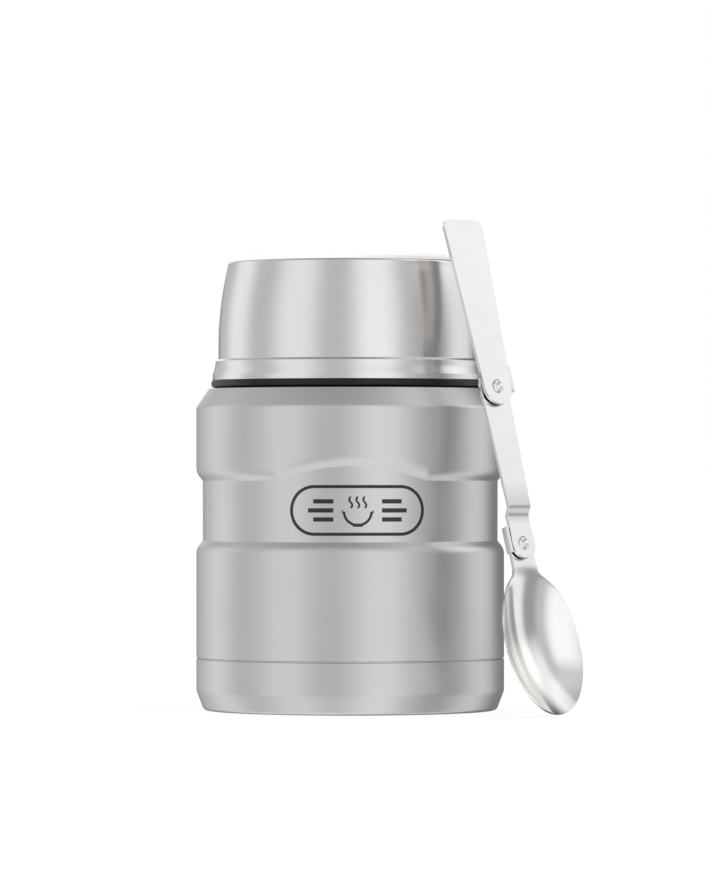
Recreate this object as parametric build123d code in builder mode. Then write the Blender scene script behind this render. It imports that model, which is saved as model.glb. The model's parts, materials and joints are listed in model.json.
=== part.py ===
"""Insulated food jar with a screwed stopper, a serving-bowl lid and a folding spoon.

Millimetres. The jar stands on z = 0 with its axis on Z and its arched panel towards -Y.
The folding spoon stands open beside it, towards +X and -Y.
"""

import os
from math import cos, hypot, radians, sin, tan

from build123d import *

# ---------------------------------------------------------------- driving dimensions

# Jar body, its heights stacked from the base upwards
body_radius = 47.0
steel = 0.6  # sheet thickness of every steel shell
seam_height = 15.7  # top edge of the pressed-on base cup
seam_gap = 0.4
shell_end_height = 6.0  # lower end of the outer shell, inside the base cup
lower_wall = 36.0  # from the base cup's edge to the waist
waist_height = 18.3
upper_wall = 22.3  # from the waist to the shoulder
shoulder_rise = 5.8
neck_height = 13.9
waist_depth = 1.97
waist_slope = 39.0  # degrees from the vertical, of the waist's flanks
waist_round = 5.0
shoulder_inset = 3.9
shoulder_round = 2.0
inner_round = 3.0  # of the waist's and the neck's inner corners

# Arched panel above the waist
arch_rise = 4.4
arch_half_angle = 29.0  # degrees round the body
arch_slope = 1.35  # height gained for each millimetre of depth
arch_points = 6  # points of its edge on each side of the middle

# Base cup
foot_bevel_height = 6.0
foot_bevel_run = 2.3
foot_round = 1.6
foot_ring_width = 5.5
foot_recess = 1.8
foot_recess_round = 0.8
bevel_round = 4.0
press_clearance = 0.1  # radial, between the base cup and the shell inside it

# Vacuum vessel
vessel_gap = 4.0  # vacuum space round the food cavity
base_gap = 6.5  # vacuum space under the food cavity
vessel_corner = 6.0
vessel_shoulder_height = 10.0
vessel_shoulder_round = 4.0
neck_vacuum = 0.9
foil = 0.2
foil_gap = 0.3
foil_margin = 9.5  # bare vessel wall above and below the foil
disc_flange = 3.5
disc_corner = 1.0
weld_clearance = 0.05
dimple_radius = 9.0
dimple_height = 1.6
pinch_hole_radius = 1.0
seal_button_radius = 4.0
seal_button_height = 1.0
getter_radius = 6.0
getter_height = 2.0
getter_offset = 20.0

# Threads: the walls below are their roots, and the ridges stand between them
thread_depth = 0.5
thread_clearance = 0.3

# Stopper
seat_clearance = 0.3
flange_inset = 0.5  # in from the shoulder's edge
flange_thickness = 2.1
flange_round = 0.8
stopper_wall = 1.6
stopper_roof = 1.8
stopper_round = 0.6
recess_depth = 9.1
recess_corner = 0.8
plug_depth = 12.5
plug_clearance = 0.3
plug_round = 1.5
gasket_width = 1.5
gasket_height = 2.4
gasket_rise = 2.5  # above the plug's bottom
gasket_round = 0.4
neck_margin = 2.0  # straight neck left below the gasket
running_clearance = 0.05

# Lid, worn upside down as a serving bowl
rim_inset = 0.55  # in from the stopper's flange
rim_height = 1.6
skirt_height = 5.8
skirt_inset = 0.95
skirt_bulge = 0.2
lid_wall_inset = 1.55
lid_step = 0.6
lid_straight = 3.5
lid_wall_height = 28.8
lid_taper = 2.9
lid_bulge = 0.75
crown_inset = 0.9
crown_step = 1.1
crown_rise = 2.2
liner_clearance = 0.5
liner_headroom = 0.9
liner_step = 1.5  # above the stopper, where the liner starts to taper
liner_round = 2.0
liner_corner = 5.0
liner_seat = 0.15
lid_seal_width = 1.6
lid_seal_height = 1.0

# Folding spoon
spoon_azimuth = 41.6  # degrees from -Y towards +X, the way it faces
spoon_lean = 17.1  # degrees from the vertical, back towards the jar
spoon_clearance = 0.5  # between the handle's top and the lid's path
spoon_shift = 5.1  # sideways from the radial line
plate = 1.5
plate_gap = 0.1
bowl_length = 47.0
bowl_width = 30.0
bowl_depth = 7.5
bowl_wide_point = 20.5  # from the tip
bowl_sheet = 1.1
neck_length = 6.4  # from the bowl to the lower pivot
link_length = 47.9
handle_length = 52.8
handle_top_width = 15.7
handle_low_width = 12.4
handle_corner = 2.6
link_top_width = 9.8
link_low_width = 8.6
link_end_radius = 4.7
joggle_start = 10.5  # above the lower pivot
joggle_run = 2.4
joggle_round = 1.6
neck_width = 9.0
neck_flare = 8.0
flare_overlap = 4.2  # of the neck's flare over the bowl's end
flare_reach = 0.6  # of the flare beyond the bowl's end
flare_round = 3.0
tab_clearance = 0.3
tab_length = 8.0
tab_round = 0.6
rivet_radius = 1.2
rivet_seat = 0.02
rivet_head_radius = 1.8
rivet_head = 0.5
rivet_dimple_radius = 0.9
rivet_dimple = 0.35
pin_clearance = 0.05

# ---------------------------------------------------------------- worked-out sizes

waist_low = seam_height + lower_wall
waist_high = waist_low + waist_height
shoulder_low = waist_high + upper_wall
shoulder_high = shoulder_low + shoulder_rise
lip_height = shoulder_high + neck_height

# Radii nest from the outside in: shoulder, flange, lid, liner, stopper, neck and mouth
waist_radius = body_radius - waist_depth
shoulder_radius = body_radius - shoulder_inset
flange_radius = shoulder_radius - flange_inset
rim_radius = flange_radius - rim_inset
lid_wall_radius = rim_radius - lid_wall_inset
lid_top_radius = lid_wall_radius - lid_taper
liner_radius = lid_wall_radius - steel - liner_clearance
lid_bore = liner_radius - stopper_wall
stopper_radius = lid_bore - thread_clearance - thread_depth
stopper_bore = stopper_radius - stopper_wall
neck_radius = stopper_bore - thread_clearance - thread_depth
vessel_neck_radius = neck_radius - steel - neck_vacuum
mouth_radius = vessel_neck_radius - steel
plug_radius = mouth_radius - plug_clearance
recess_radius = plug_radius - stopper_wall
gasket_seat_radius = plug_radius - gasket_width
foam_radius = gasket_seat_radius - stopper_wall

# The stopper hangs from the lip and the flange sits over the shoulder
flange_low = shoulder_high + seat_clearance
flange_high = flange_low + flange_thickness
roof_low = lip_height + steel + seat_clearance
roof_high = roof_low + stopper_roof
recess_floor = roof_high - recess_depth - stopper_wall
plug_bottom = recess_floor - plug_depth
gasket_low = plug_bottom + gasket_rise
gasket_high = gasket_low + gasket_height

# The vessel's straight neck reaches down past the gasket
vessel_radius = body_radius - steel - vessel_gap
vessel_floor = shell_end_height + base_gap
vessel_shoulder_high = gasket_low - neck_margin
vessel_shoulder_low = vessel_shoulder_high - vessel_shoulder_height
shell_end_radius = body_radius - steel - press_clearance
disc_radius = shell_end_radius - steel - weld_clearance

lid_low = flange_high + seat_clearance
rim_high = lid_low + rim_height
skirt_high = lid_low + skirt_height
wall_low = skirt_high + lid_step
wall_high = wall_low + lid_wall_height
crown_low = wall_high + crown_step
crown_high = crown_low + crown_rise

# ---------------------------------------------------------------- shared operations


def revolved_sheet(outline, thickness):
    """Revolve a sheet whose outside is the outline, drawn from the axis or the foot upwards."""
    with BuildPart() as sheet:
        with BuildSketch(Plane.XZ):
            with BuildLine():
                add(outline)
                offset(amount=thickness, side=Side.LEFT)
            make_face()
        revolve(axis=Axis.Z)
    return sheet.part


def revolved_section(*points, radii):
    """Revolve a closed section of (radius, height) points with its corners rounded."""
    with BuildPart() as body:
        with BuildSketch(Plane.XZ):
            with BuildLine():
                FilletPolyline(*points, radius=radii, close=True)
            make_face()
        revolve(axis=Axis.Z)
    return body.part


def ring(inner, outer, low, high, rounding=0.0):
    """A flat ring between two radii and two heights, its four edges rounded if asked."""
    corners = ((inner, low), (outer, low), (outer, high), (inner, high))
    return revolved_section(*corners, radii=[rounding] * 4)


# ---------------------------------------------------------------- outer shell

flank = waist_depth / tan(radians(waist_slope))
with BuildLine() as shell_outline:
    FilletPolyline(
        (shell_end_radius, shell_end_height),
        (shell_end_radius, seam_height + seam_gap),
        (body_radius, seam_height + seam_gap),
        (body_radius, waist_low - flank),
        (waist_radius, waist_low),
        (waist_radius, waist_high),
        (body_radius, waist_high + flank),
        (body_radius, shoulder_low),
        (shoulder_radius, shoulder_high),
        (neck_radius, shoulder_high),
        (neck_radius, lip_height),
        radius=[0, 0, waist_round, *[inner_round] * 2, waist_round, shoulder_round, inner_round, 0],
    )


def arch_cutter(inset):
    """The wedge that presses the arched panel in, its faces moved out by inset."""
    end_angle = radians(arch_half_angle * (arch_points + 1) / arch_points)
    near_depth = (waist_radius - 2 * steel) * cos(end_angle)
    far_depth = body_radius + 2 * steel
    cutter_low = waist_low + 2 * inner_round

    def edge_point(step, depth):
        angle = radians(arch_half_angle * step / arch_points)
        radius = depth / cos(angle)
        crest = waist_high + arch_rise * (1 - (step / arch_points) ** 2)
        rise = arch_slope * (radius - waist_radius) + inset * hypot(1, arch_slope)
        return (depth * tan(angle), crest + rise)

    with BuildPart() as cutter:
        for depth in (near_depth, far_depth):
            with BuildSketch(Plane.XZ.offset(depth)):
                with BuildLine():
                    steps = range(-arch_points - 1, arch_points + 2)
                    edge = Spline(*[edge_point(step, depth) for step in steps])
                    start, end = edge @ 0, edge @ 1
                    Polyline(end, (end.X, cutter_low), (start.X, cutter_low), start)
                make_face()
        loft(ruled=True)
        Cylinder(waist_radius - inset, 2 * lip_height, mode=Mode.SUBTRACT)
    return cutter.part


with BuildPart() as body_form:
    with BuildSketch(Plane.XZ):
        with BuildLine():
            add(shell_outline.line)
            Polyline(
                (neck_radius, lip_height),
                (0, lip_height),
                (0, shell_end_height),
                (shell_end_radius, shell_end_height),
            )
        make_face()
    revolve(axis=Axis.Z)

with BuildPart() as arch_wall:
    add(arch_cutter(steel))
    add(arch_cutter(0), mode=Mode.SUBTRACT)
    add(body_form.part, mode=Mode.INTERSECT)

with BuildPart() as outer_shell:
    add(revolved_sheet(shell_outline.line, steel))
    add(arch_cutter(0), mode=Mode.SUBTRACT)
    add(arch_wall.part)

# ---------------------------------------------------------------- base cup

foot_radius = body_radius - foot_bevel_run
with BuildLine() as cup_outline:
    FilletPolyline(
        (0, foot_recess),
        (foot_radius - foot_ring_width - foot_recess, foot_recess),
        (foot_radius - foot_ring_width, 0),
        (foot_radius, 0),
        (body_radius, foot_bevel_height),
        (body_radius, seam_height),
        radius=[foot_recess_round, foot_recess_round, foot_round, bevel_round],
    )

with BuildPart() as base_cup:
    add(revolved_sheet(cup_outline.line, steel))

# ---------------------------------------------------------------- vacuum vessel

with BuildLine() as vessel_outline:
    FilletPolyline(
        (0, vessel_floor),
        (vessel_radius, vessel_floor),
        (vessel_radius, vessel_shoulder_low),
        (vessel_neck_radius, vessel_shoulder_high),
        (vessel_neck_radius, lip_height),
        (neck_radius, lip_height),
        radius=[vessel_corner, vessel_shoulder_round, vessel_shoulder_round, 0],
    )

with BuildPart() as inner_vessel:
    add(revolved_sheet(vessel_outline.line, steel))

with BuildPart() as heat_foil:
    foil_radius = vessel_radius + foil_gap
    foil_low = vessel_floor + foil_margin
    foil_high = vessel_shoulder_low - foil_margin
    add(ring(foil_radius, foil_radius + foil, foil_low, foil_high))

dimple_top = shell_end_height + dimple_height
with BuildLine() as disc_outline:
    FilletPolyline(
        (0, dimple_top),
        (dimple_radius, dimple_top),
        (dimple_radius + dimple_height, shell_end_height),
        (disc_radius, shell_end_height),
        (disc_radius, shell_end_height + disc_flange),
        radius=[disc_corner / 2, disc_corner / 2, disc_corner],
    )

with BuildPart() as vacuum_base:
    add(revolved_sheet(disc_outline.line, steel))
    with BuildSketch(Plane.XY.offset(dimple_top)):
        Circle(pinch_hole_radius)
    extrude(amount=steel, mode=Mode.SUBTRACT)

with BuildPart() as exhaust_seal:
    with BuildSketch(Plane.XY.offset(dimple_top)):
        Circle(seal_button_radius)
    extrude(amount=-seal_button_height)

with BuildPart() as getter:
    with BuildSketch(Plane.XY.offset(shell_end_height + steel)):
        with Locations((getter_offset, 0)):
            Circle(getter_radius)
    extrude(amount=getter_height)

# ---------------------------------------------------------------- stopper

with BuildPart() as stopper_shell:
    add(
        revolved_section(
            (0, recess_floor),
            (plug_radius, recess_floor),
            (plug_radius, roof_low),
            (stopper_bore, roof_low),
            (stopper_bore, flange_low),
            (flange_radius, flange_low),
            (flange_radius, flange_high),
            (stopper_radius, flange_high),
            (stopper_radius, roof_high),
            (recess_radius, roof_high),
            (recess_radius, recess_floor + stopper_wall),
            (0, recess_floor + stopper_wall),
            radii=[
                *[0] * 5,
                flange_round,
                flange_round / 2,
                0,
                stopper_round,
                stopper_round,
                recess_corner,
                0,
            ],
        )
    )

with BuildPart() as stopper_plug:
    add(
        revolved_section(
            (0, plug_bottom),
            (plug_radius, plug_bottom),
            (plug_radius, gasket_low),
            (gasket_seat_radius, gasket_low),
            (gasket_seat_radius, gasket_high),
            (plug_radius, gasket_high),
            (plug_radius, recess_floor),
            (foam_radius, recess_floor),
            (foam_radius, plug_bottom + stopper_wall),
            (0, plug_bottom + stopper_wall),
            radii=[0, plug_round, *[0] * 8],
        )
    )

with BuildPart() as stopper_foam:
    with BuildSketch(Plane.XY.offset(plug_bottom + stopper_wall)):
        Circle(foam_radius - seat_clearance)
    extrude(amount=recess_floor - plug_bottom - stopper_wall)

with BuildPart() as stopper_gasket:
    add(
        ring(
            gasket_seat_radius + running_clearance,
            mouth_radius - running_clearance,
            gasket_low + running_clearance,
            gasket_high - running_clearance,
            gasket_round,
        )
    )

# ---------------------------------------------------------------- lid

with BuildLine() as lid_outline:
    skirt_radius = rim_radius - skirt_inset
    rim_top = (rim_radius, rim_high)
    skirt_top = (skirt_radius, skirt_high)
    skirt_middle = ((rim_radius + skirt_radius) / 2 + skirt_bulge, (rim_high + skirt_high) / 2)
    wall_start = (lid_wall_radius, wall_low + lid_straight)
    wall_end = (lid_top_radius, wall_high)
    wall_middle = (
        (lid_wall_radius + lid_top_radius) / 2 + lid_bulge,
        (wall_low + lid_straight + wall_high) / 2,
    )
    crown_edge = (lid_top_radius - crown_inset, crown_low)
    Line((rim_radius, lid_low), rim_top)
    ThreePointArc(rim_top, skirt_middle, skirt_top)
    Polyline(skirt_top, (lid_wall_radius, wall_low), wall_start)
    wall_arc = ThreePointArc(wall_start, wall_middle, wall_end)
    TangentArc(wall_end, crown_edge, tangent=wall_arc % 1)
    crown_radius = (crown_edge[0] ** 2 + crown_rise**2) / (2 * crown_rise)
    RadiusArc(crown_edge, (0, crown_high), -crown_radius)

with BuildPart() as lid_shell:
    add(revolved_sheet(lid_outline.line, steel))

seal_inner = (lid_bore + rim_radius - steel - lid_seal_width) / 2
seal_outer = seal_inner + lid_seal_width
seal_low = flange_high + running_clearance
seal_high = seal_low + lid_seal_height

with BuildPart() as lid_liner:
    taper_low = roof_high + liner_step
    flange_edge = rim_radius - steel - liner_seat
    liner_top = crown_low - steel - liner_headroom - stopper_wall
    liner_top_radius = lid_top_radius - steel - liner_clearance - stopper_wall
    add(
        revolved_section(
            (lid_bore, lid_low),
            (flange_edge, lid_low),
            (flange_edge, rim_high),
            (liner_radius, rim_high),
            (liner_radius, taper_low),
            (liner_top_radius + stopper_wall, liner_top + stopper_wall),
            (0, liner_top + stopper_wall),
            (0, liner_top),
            (liner_top_radius, liner_top),
            (lid_bore, taper_low),
            radii=[
                *[0] * 4,
                liner_round,
                liner_corner + stopper_wall,
                0,
                0,
                liner_corner,
                liner_round,
            ],
        )
    )
    add(
        ring(
            seal_inner - running_clearance,
            seal_outer + running_clearance,
            lid_low,
            seal_high + running_clearance,
        ),
        mode=Mode.SUBTRACT,
    )

with BuildPart() as lid_seal:
    add(ring(seal_inner, seal_outer, seal_low, seal_high, lid_seal_height / 4))

# ---------------------------------------------------------------- folding spoon

joggle = plate + plate_gap
lower_pivot = bowl_length + neck_length
spoon_length = lower_pivot + link_length + handle_length
upper_pivot = lower_pivot + link_length

# Heights over the spoon's own plane, which is the handle's back face
link_back = -plate_gap - plate
low_link_back = link_back - joggle
low_link_front = low_link_back + plate
bowl_front = low_link_back - plate_gap
neck_back = bowl_front - plate

azimuth, lean = radians(spoon_azimuth), radians(spoon_lean)
outward = Vector(sin(azimuth), -cos(azimuth), 0)
sideways = Vector(cos(azimuth), sin(azimuth), 0)
spoon_normal = outward * cos(lean) + Vector(0, 0, sin(lean))
tip_drop = hypot(bowl_wide_point * cos(lean), bowl_depth * sin(lean)) - bowl_wide_point * cos(lean)
foot_reach = rim_radius + spoon_clearance + spoon_length * sin(lean)
foot_rise = tip_drop - bowl_front * sin(lean)
spoon_foot = outward * foot_reach + sideways * spoon_shift + Vector(0, 0, foot_rise)
spoon_plane = Plane(origin=spoon_foot, x_dir=sideways, z_dir=spoon_normal)
side_plane = Plane(origin=spoon_foot, x_dir=spoon_plane.y_dir, z_dir=sideways)


def dish(inset):
    """The flattened egg whose back half is the bowl, shrunk by inset, rim on the XY plane."""
    half_width = bowl_width / 2 - inset
    middle = (0, bowl_wide_point)
    with BuildPart() as egg:
        with BuildSketch():
            with BuildLine():
                low = EllipticalCenterArc(
                    middle, half_width, bowl_wide_point - inset, start_angle=-90, arc_size=90
                )
                high = EllipticalCenterArc(
                    middle, half_width, bowl_length - bowl_wide_point - inset, arc_size=90
                )
                Line(high @ 1, low @ 0)
            make_face()
        revolve(axis=Axis.Y)
        scale(by=(1, 1, (bowl_depth - inset) / half_width))
    return egg.part


def rivet(pivot, back, front):
    """A tubular rivet across the plates between two heights, with a head at each end."""
    with BuildPart() as body:
        with BuildSketch(spoon_plane.offset(back)):
            with Locations((0, pivot)):
                Circle(rivet_radius)
        extrude(amount=front - back)
        for seat, height in ((front, rivet_head), (back, -rivet_head)):
            with BuildSketch(spoon_plane.offset(seat)):
                with Locations((0, pivot)):
                    Circle(rivet_head_radius)
            extrude(amount=height)
        with BuildSketch(spoon_plane.offset(front + rivet_head)):
            with Locations((0, pivot)):
                Circle(rivet_dimple_radius)
        extrude(amount=-rivet_dimple, mode=Mode.SUBTRACT)
    return body.part


def pivot_hole(pivot, clearance, low, high):
    """The round hole for a rivet, between two heights over the spoon's plane."""
    with BuildPart() as hole:
        with BuildSketch(spoon_plane.offset(low)):
            with Locations((0, pivot)):
                Circle(rivet_radius + clearance)
        extrude(amount=high - low)
    return hole.part


def stop_tab(near_side, pivot, low, high):
    """A sheet tab bent forward beside a pivot; near_side is its signed inner face."""
    outer = near_side + plate * (1 if near_side > 0 else -1)
    with BuildPart() as tab:
        with BuildSketch(spoon_plane.offset(low)):
            with Locations(((near_side + outer) / 2, pivot)):
                RectangleRounded(plate, tab_length, tab_round)
        extrude(amount=high - low)
        with BuildSketch(spoon_plane.offset(low)):
            with Locations((near_side / 2, pivot)):
                Rectangle(abs(near_side) + plate / 2, tab_length - 2 * tab_round)
        extrude(amount=plate)
    return tab.part


with BuildPart() as spoon_handle:
    with BuildSketch(spoon_plane):
        with BuildLine():
            half_low, half_top = handle_low_width / 2, handle_top_width / 2
            FilletPolyline(
                (-half_low, upper_pivot),
                (-half_top, spoon_length),
                (half_top, spoon_length),
                (half_low, upper_pivot),
                radius=handle_corner,
            )
            Line((half_low, upper_pivot), (-half_low, upper_pivot))
        make_face()
        with Locations((0, upper_pivot)):
            Circle(half_low)
    extrude(amount=plate)
    add(pivot_hole(upper_pivot, pin_clearance, 0, plate), mode=Mode.SUBTRACT)

with BuildPart() as spoon_link:
    with BuildSketch(spoon_plane.offset(low_link_back)):
        with BuildLine():
            half_low, half_top = link_low_width / 2, link_top_width / 2
            Polyline(
                (-half_low, lower_pivot),
                (-half_top, upper_pivot),
                (half_top, upper_pivot),
                (half_low, lower_pivot),
                close=True,
            )
        make_face()
        with Locations((0, lower_pivot)):
            Circle(link_end_radius)
        with Locations((0, upper_pivot)):
            Circle(half_top)
    extrude(amount=joggle + plate)
    with BuildSketch(side_plane):
        with BuildLine():
            joggle_low = lower_pivot + joggle_start
            FilletPolyline(
                (lower_pivot - 2 * link_end_radius, low_link_back + plate / 2),
                (joggle_low, low_link_back + plate / 2),
                (joggle_low + joggle_run, link_back + plate / 2),
                (upper_pivot + 2 * link_end_radius, link_back + plate / 2),
                radius=joggle_round,
            )
            offset(amount=plate / 2, side=Side.BOTH)
        make_face()
    extrude(amount=link_top_width, both=True, mode=Mode.INTERSECT)
    head_tab_side = handle_low_width / 2 + tab_clearance
    add(stop_tab(head_tab_side, upper_pivot, link_back, plate))
    add(pivot_hole(upper_pivot, rivet_seat, link_back, plate), mode=Mode.SUBTRACT)
    add(pivot_hole(lower_pivot, rivet_seat, neck_back, 0), mode=Mode.SUBTRACT)

with BuildPart() as spoon_bowl:
    add(dish(0).moved(spoon_plane.offset(bowl_front).location))
    split(bisect_by=spoon_plane.offset(bowl_front), keep=Keep.BOTTOM)
    with BuildSketch(spoon_plane.offset(bowl_front)):
        with BuildLine():
            half_neck = neck_width / 2
            flare_low, flare_high = bowl_length - flare_overlap, bowl_length + flare_reach
            FilletPolyline(
                (-half_neck, lower_pivot),
                (-half_neck, flare_high),
                (-neck_flare, flare_low),
                (neck_flare, flare_low),
                (half_neck, flare_high),
                (half_neck, lower_pivot),
                radius=[flare_round, 0, 0, flare_round],
            )
            Line((half_neck, lower_pivot), (-half_neck, lower_pivot))
        make_face()
        with Locations((0, lower_pivot)):
            Circle(link_end_radius)
    extrude(amount=-plate)
    add(stop_tab(-link_end_radius - tab_clearance, lower_pivot, neck_back, low_link_front))
    add(dish(bowl_sheet).moved(spoon_plane.offset(bowl_front).location), mode=Mode.SUBTRACT)
    add(pivot_hole(lower_pivot, pin_clearance, neck_back, bowl_front), mode=Mode.SUBTRACT)

with BuildPart() as upper_rivet:
    add(rivet(upper_pivot, link_back, plate + pin_clearance))

with BuildPart() as lower_rivet:
    add(rivet(lower_pivot, neck_back - pin_clearance, low_link_front))

# ---------------------------------------------------------------- export

os.makedirs("parts", exist_ok=True)
pieces = {
    "outer_shell": outer_shell,
    "base_cup": base_cup,
    "inner_vessel": inner_vessel,
    "heat_foil": heat_foil,
    "vacuum_base": vacuum_base,
    "exhaust_seal": exhaust_seal,
    "getter": getter,
    "stopper_shell": stopper_shell,
    "stopper_plug": stopper_plug,
    "stopper_foam": stopper_foam,
    "stopper_gasket": stopper_gasket,
    "lid_shell": lid_shell,
    "lid_liner": lid_liner,
    "lid_seal": lid_seal,
    "spoon_handle": spoon_handle,
    "spoon_link": spoon_link,
    "spoon_bowl": spoon_bowl,
    "upper_rivet": upper_rivet,
    "lower_rivet": lower_rivet,
}
for name, piece in pieces.items():
    piece.part.label = name
    export_step(piece.part, f"parts/{name}.step")

print("upper pivot", spoon_plane.from_local_coords((0, upper_pivot, 0)))
print("lower pivot", spoon_plane.from_local_coords((0, lower_pivot, 0)))
print("spoon normal", spoon_normal)
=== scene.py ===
"""Dressed model of an insulated food jar with a screwed stopper, a bowl lid and a folding spoon.

All lengths are in metres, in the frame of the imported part: the jar stands on z = 0 with its axis
on Z and its arched panel towards -Y. Each sub-assembly is a class that builds its own pieces.
"""

import json
import logging
import math
from dataclasses import dataclass, field
from enum import Enum
from typing import Any, Callable, Iterable, Optional, Sequence

import bmesh
import bpy
from mathutils import Matrix, Vector


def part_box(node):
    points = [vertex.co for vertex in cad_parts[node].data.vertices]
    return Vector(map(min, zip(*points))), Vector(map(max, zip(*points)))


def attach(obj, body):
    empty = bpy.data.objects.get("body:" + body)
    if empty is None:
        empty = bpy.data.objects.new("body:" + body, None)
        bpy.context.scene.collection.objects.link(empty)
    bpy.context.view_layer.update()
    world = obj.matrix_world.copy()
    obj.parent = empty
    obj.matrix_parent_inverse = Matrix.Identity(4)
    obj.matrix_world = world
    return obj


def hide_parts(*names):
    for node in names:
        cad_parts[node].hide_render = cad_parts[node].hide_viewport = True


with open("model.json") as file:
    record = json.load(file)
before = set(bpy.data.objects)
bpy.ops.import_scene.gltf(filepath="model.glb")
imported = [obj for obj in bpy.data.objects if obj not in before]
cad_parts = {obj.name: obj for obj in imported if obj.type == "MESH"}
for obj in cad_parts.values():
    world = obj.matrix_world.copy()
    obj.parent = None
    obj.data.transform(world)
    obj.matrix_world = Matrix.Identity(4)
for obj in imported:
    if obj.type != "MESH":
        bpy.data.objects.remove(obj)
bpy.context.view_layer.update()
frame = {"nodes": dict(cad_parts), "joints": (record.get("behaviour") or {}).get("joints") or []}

log = logging.getLogger("food_jar")

Point = tuple[float, float]
Corner = tuple[float, float, float]  # across, up, rounding
Place = tuple[float, float, float]
Colour = tuple[float, float, float]
Face = tuple[int, ...]
Shape = tuple[list[Place], list[Face]]
Socket = bpy.types.NodeSocket

STEEL = 0.0006  # sheet thickness of every steel shell
LEAD = 0.012  # height gained in one turn of every thread
THREAD_DEPTH = 0.0005
TRIM = 0.0002  # how far the flange and the lid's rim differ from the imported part
PLAY = 0.00005  # clearance of seals and rivets
ROUND_TURNS = 360  # columns of a turned piece
ARC_POINTS = 8  # steps of each rounded corner
SIDE_SHARE = 0.49  # most of a side that the rounding of one corner takes
FULL_TURN = 2 * math.pi
QUARTER = math.pi / 2
MIX_LOW, MIX_HIGH, MIX_COLOUR = 6, 7, 2  # sockets of a node that mixes two colours


# ------------------------------------------------------------------ drawing lines


def shares(steps: int, first: int = 0) -> list[float]:
    """Return how much of a run lies behind each of its steps, up to 1."""
    return [step / steps for step in range(first, steps + 1)]


def limited(value: float) -> float:
    """Return a value held between 0 and 1."""
    return min(1.0, max(0.0, value))


def eased(share: float) -> float:
    """Return a share that starts and ends gently."""
    return share * share * (3 - 2 * share)


def soft_larger(first: float, second: float, softness: float) -> float:
    """Return the larger of two values, blended where they are nearly equal."""
    gap = first - second
    return (first + second + math.sqrt(gap * gap + softness * softness)) / 2


def rounded_line(corners: Sequence[Corner], closed: bool = False) -> list[Point]:
    """Follow a line of corners and round each one by its own radius.

    Args:
        corners: Corners as (across, up, rounding); a rounding of 0 stays sharp.
        closed: Whether the last corner joins the first.

    Returns:
        Points of the rounded line. Each rounded corner gives ARC_POINTS + 1 of them.
    """
    points: list[Point] = []
    last = len(corners) - 1
    for index, (across, up, rounding) in enumerate(corners):
        if rounding <= 0 or (not closed and index in (0, last)):
            points.append((across, up))
            continue
        here = Vector((across, up))
        before = Vector(corners[index - 1][:2]) - here
        after = Vector(corners[(index + 1) % len(corners)][:2]) - here
        turn = math.pi - before.angle(after)
        room = SIDE_SHARE * min(before.length, after.length)
        reach = min(rounding * math.tan(turn / 2), room)
        radius = reach / math.tan(turn / 2)
        to_centre = (before.normalized() + after.normalized()).normalized()
        centre = here + to_centre * (radius / math.cos(turn / 2))
        start = here + before.normalized() * reach - centre
        stop = here + after.normalized() * reach - centre
        sweep = math.atan2(start.cross(stop), start.dot(stop))
        for share in shares(ARC_POINTS):
            cosine, sine = math.cos(sweep * share), math.sin(sweep * share)
            x = start.x * cosine - start.y * sine
            y = start.x * sine + start.y * cosine
            points.append((centre.x + x, centre.y + y))
    return points


def bulged_line(start: Point, end: Point, bulge: float, steps: int) -> list[Point]:
    """Draw a shallow arc between two points.

    Args:
        start: First point.
        end: Last point.
        bulge: How far the middle stands out to the right of the line's direction.
        steps: Number of stretches.

    Returns:
        Points from start to end.
    """
    first, last = Vector(start), Vector(end)
    along = last - first
    outward = Vector((along.y, -along.x)).normalized()
    line = []
    for share in shares(steps):
        point = first + along * share + outward * (4 * bulge * share * (1 - share))
        line.append((point.x, point.y))
    return line


def sheet_section(outside: Sequence[Point], thickness: float) -> list[Point]:
    """Close a sheet's outline by a second line inside it.

    Args:
        outside: The outer line, drawn from the foot upwards.
        thickness: Thickness of the sheet.

    Returns:
        The closed section.
    """
    inside: list[Point] = []
    last = len(outside) - 1
    for index, point in enumerate(outside):
        before = Vector(outside[max(index - 1, 0)])
        after = Vector(outside[min(index + 1, last)])
        along = (after - before).normalized()
        inner = Vector(point) + Vector((-along.y, along.x)) * thickness
        across = 0.0 if point[0] == 0 else max(inner.x, 0.0)
        inside.append((across, inner.y))
    return list(outside) + inside[::-1]


# ------------------------------------------------------------------ making meshes


def joined_rings(
    rings: Sequence[Sequence[Place]], closed: bool = False, capped: bool = False
) -> Shape:
    """Join rings of points by faces.

    Args:
        rings: Rings of equal length, or of one point where a ring closes to a point.
        closed: Whether the last ring joins the first.
        capped: Whether a face closes the first ring and another one the last.

    Returns:
        The points, and the faces as point numbers.
    """
    points: list[Place] = []
    numbered: list[range] = []
    for ring in rings:
        numbered.append(range(len(points), len(points) + len(ring)))
        points += ring
    pairs = list(zip(numbered, numbered[1:]))
    if closed:
        pairs.append((numbered[-1], numbered[0]))
    faces: list[Face] = []
    for low, high in pairs:
        count = max(len(low), len(high))
        if count == 1:
            continue
        for step in range(count):
            following = (step + 1) % count
            corners = [low[step % len(low)], low[following % len(low)]]
            corners += [high[following % len(high)], high[step % len(high)]]
            faces.append(tuple(dict.fromkeys(corners)))
    if capped:
        faces += [tuple(numbered[0]), tuple(numbered[-1])]
    return points, faces


def merged(shapes: Iterable[Shape]) -> Shape:
    """Put several shapes into one."""
    points: list[Place] = []
    faces: list[Face] = []
    for more, sides in shapes:
        faces += [tuple(number + len(points) for number in side) for side in sides]
        points += more
    return points, faces


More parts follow.
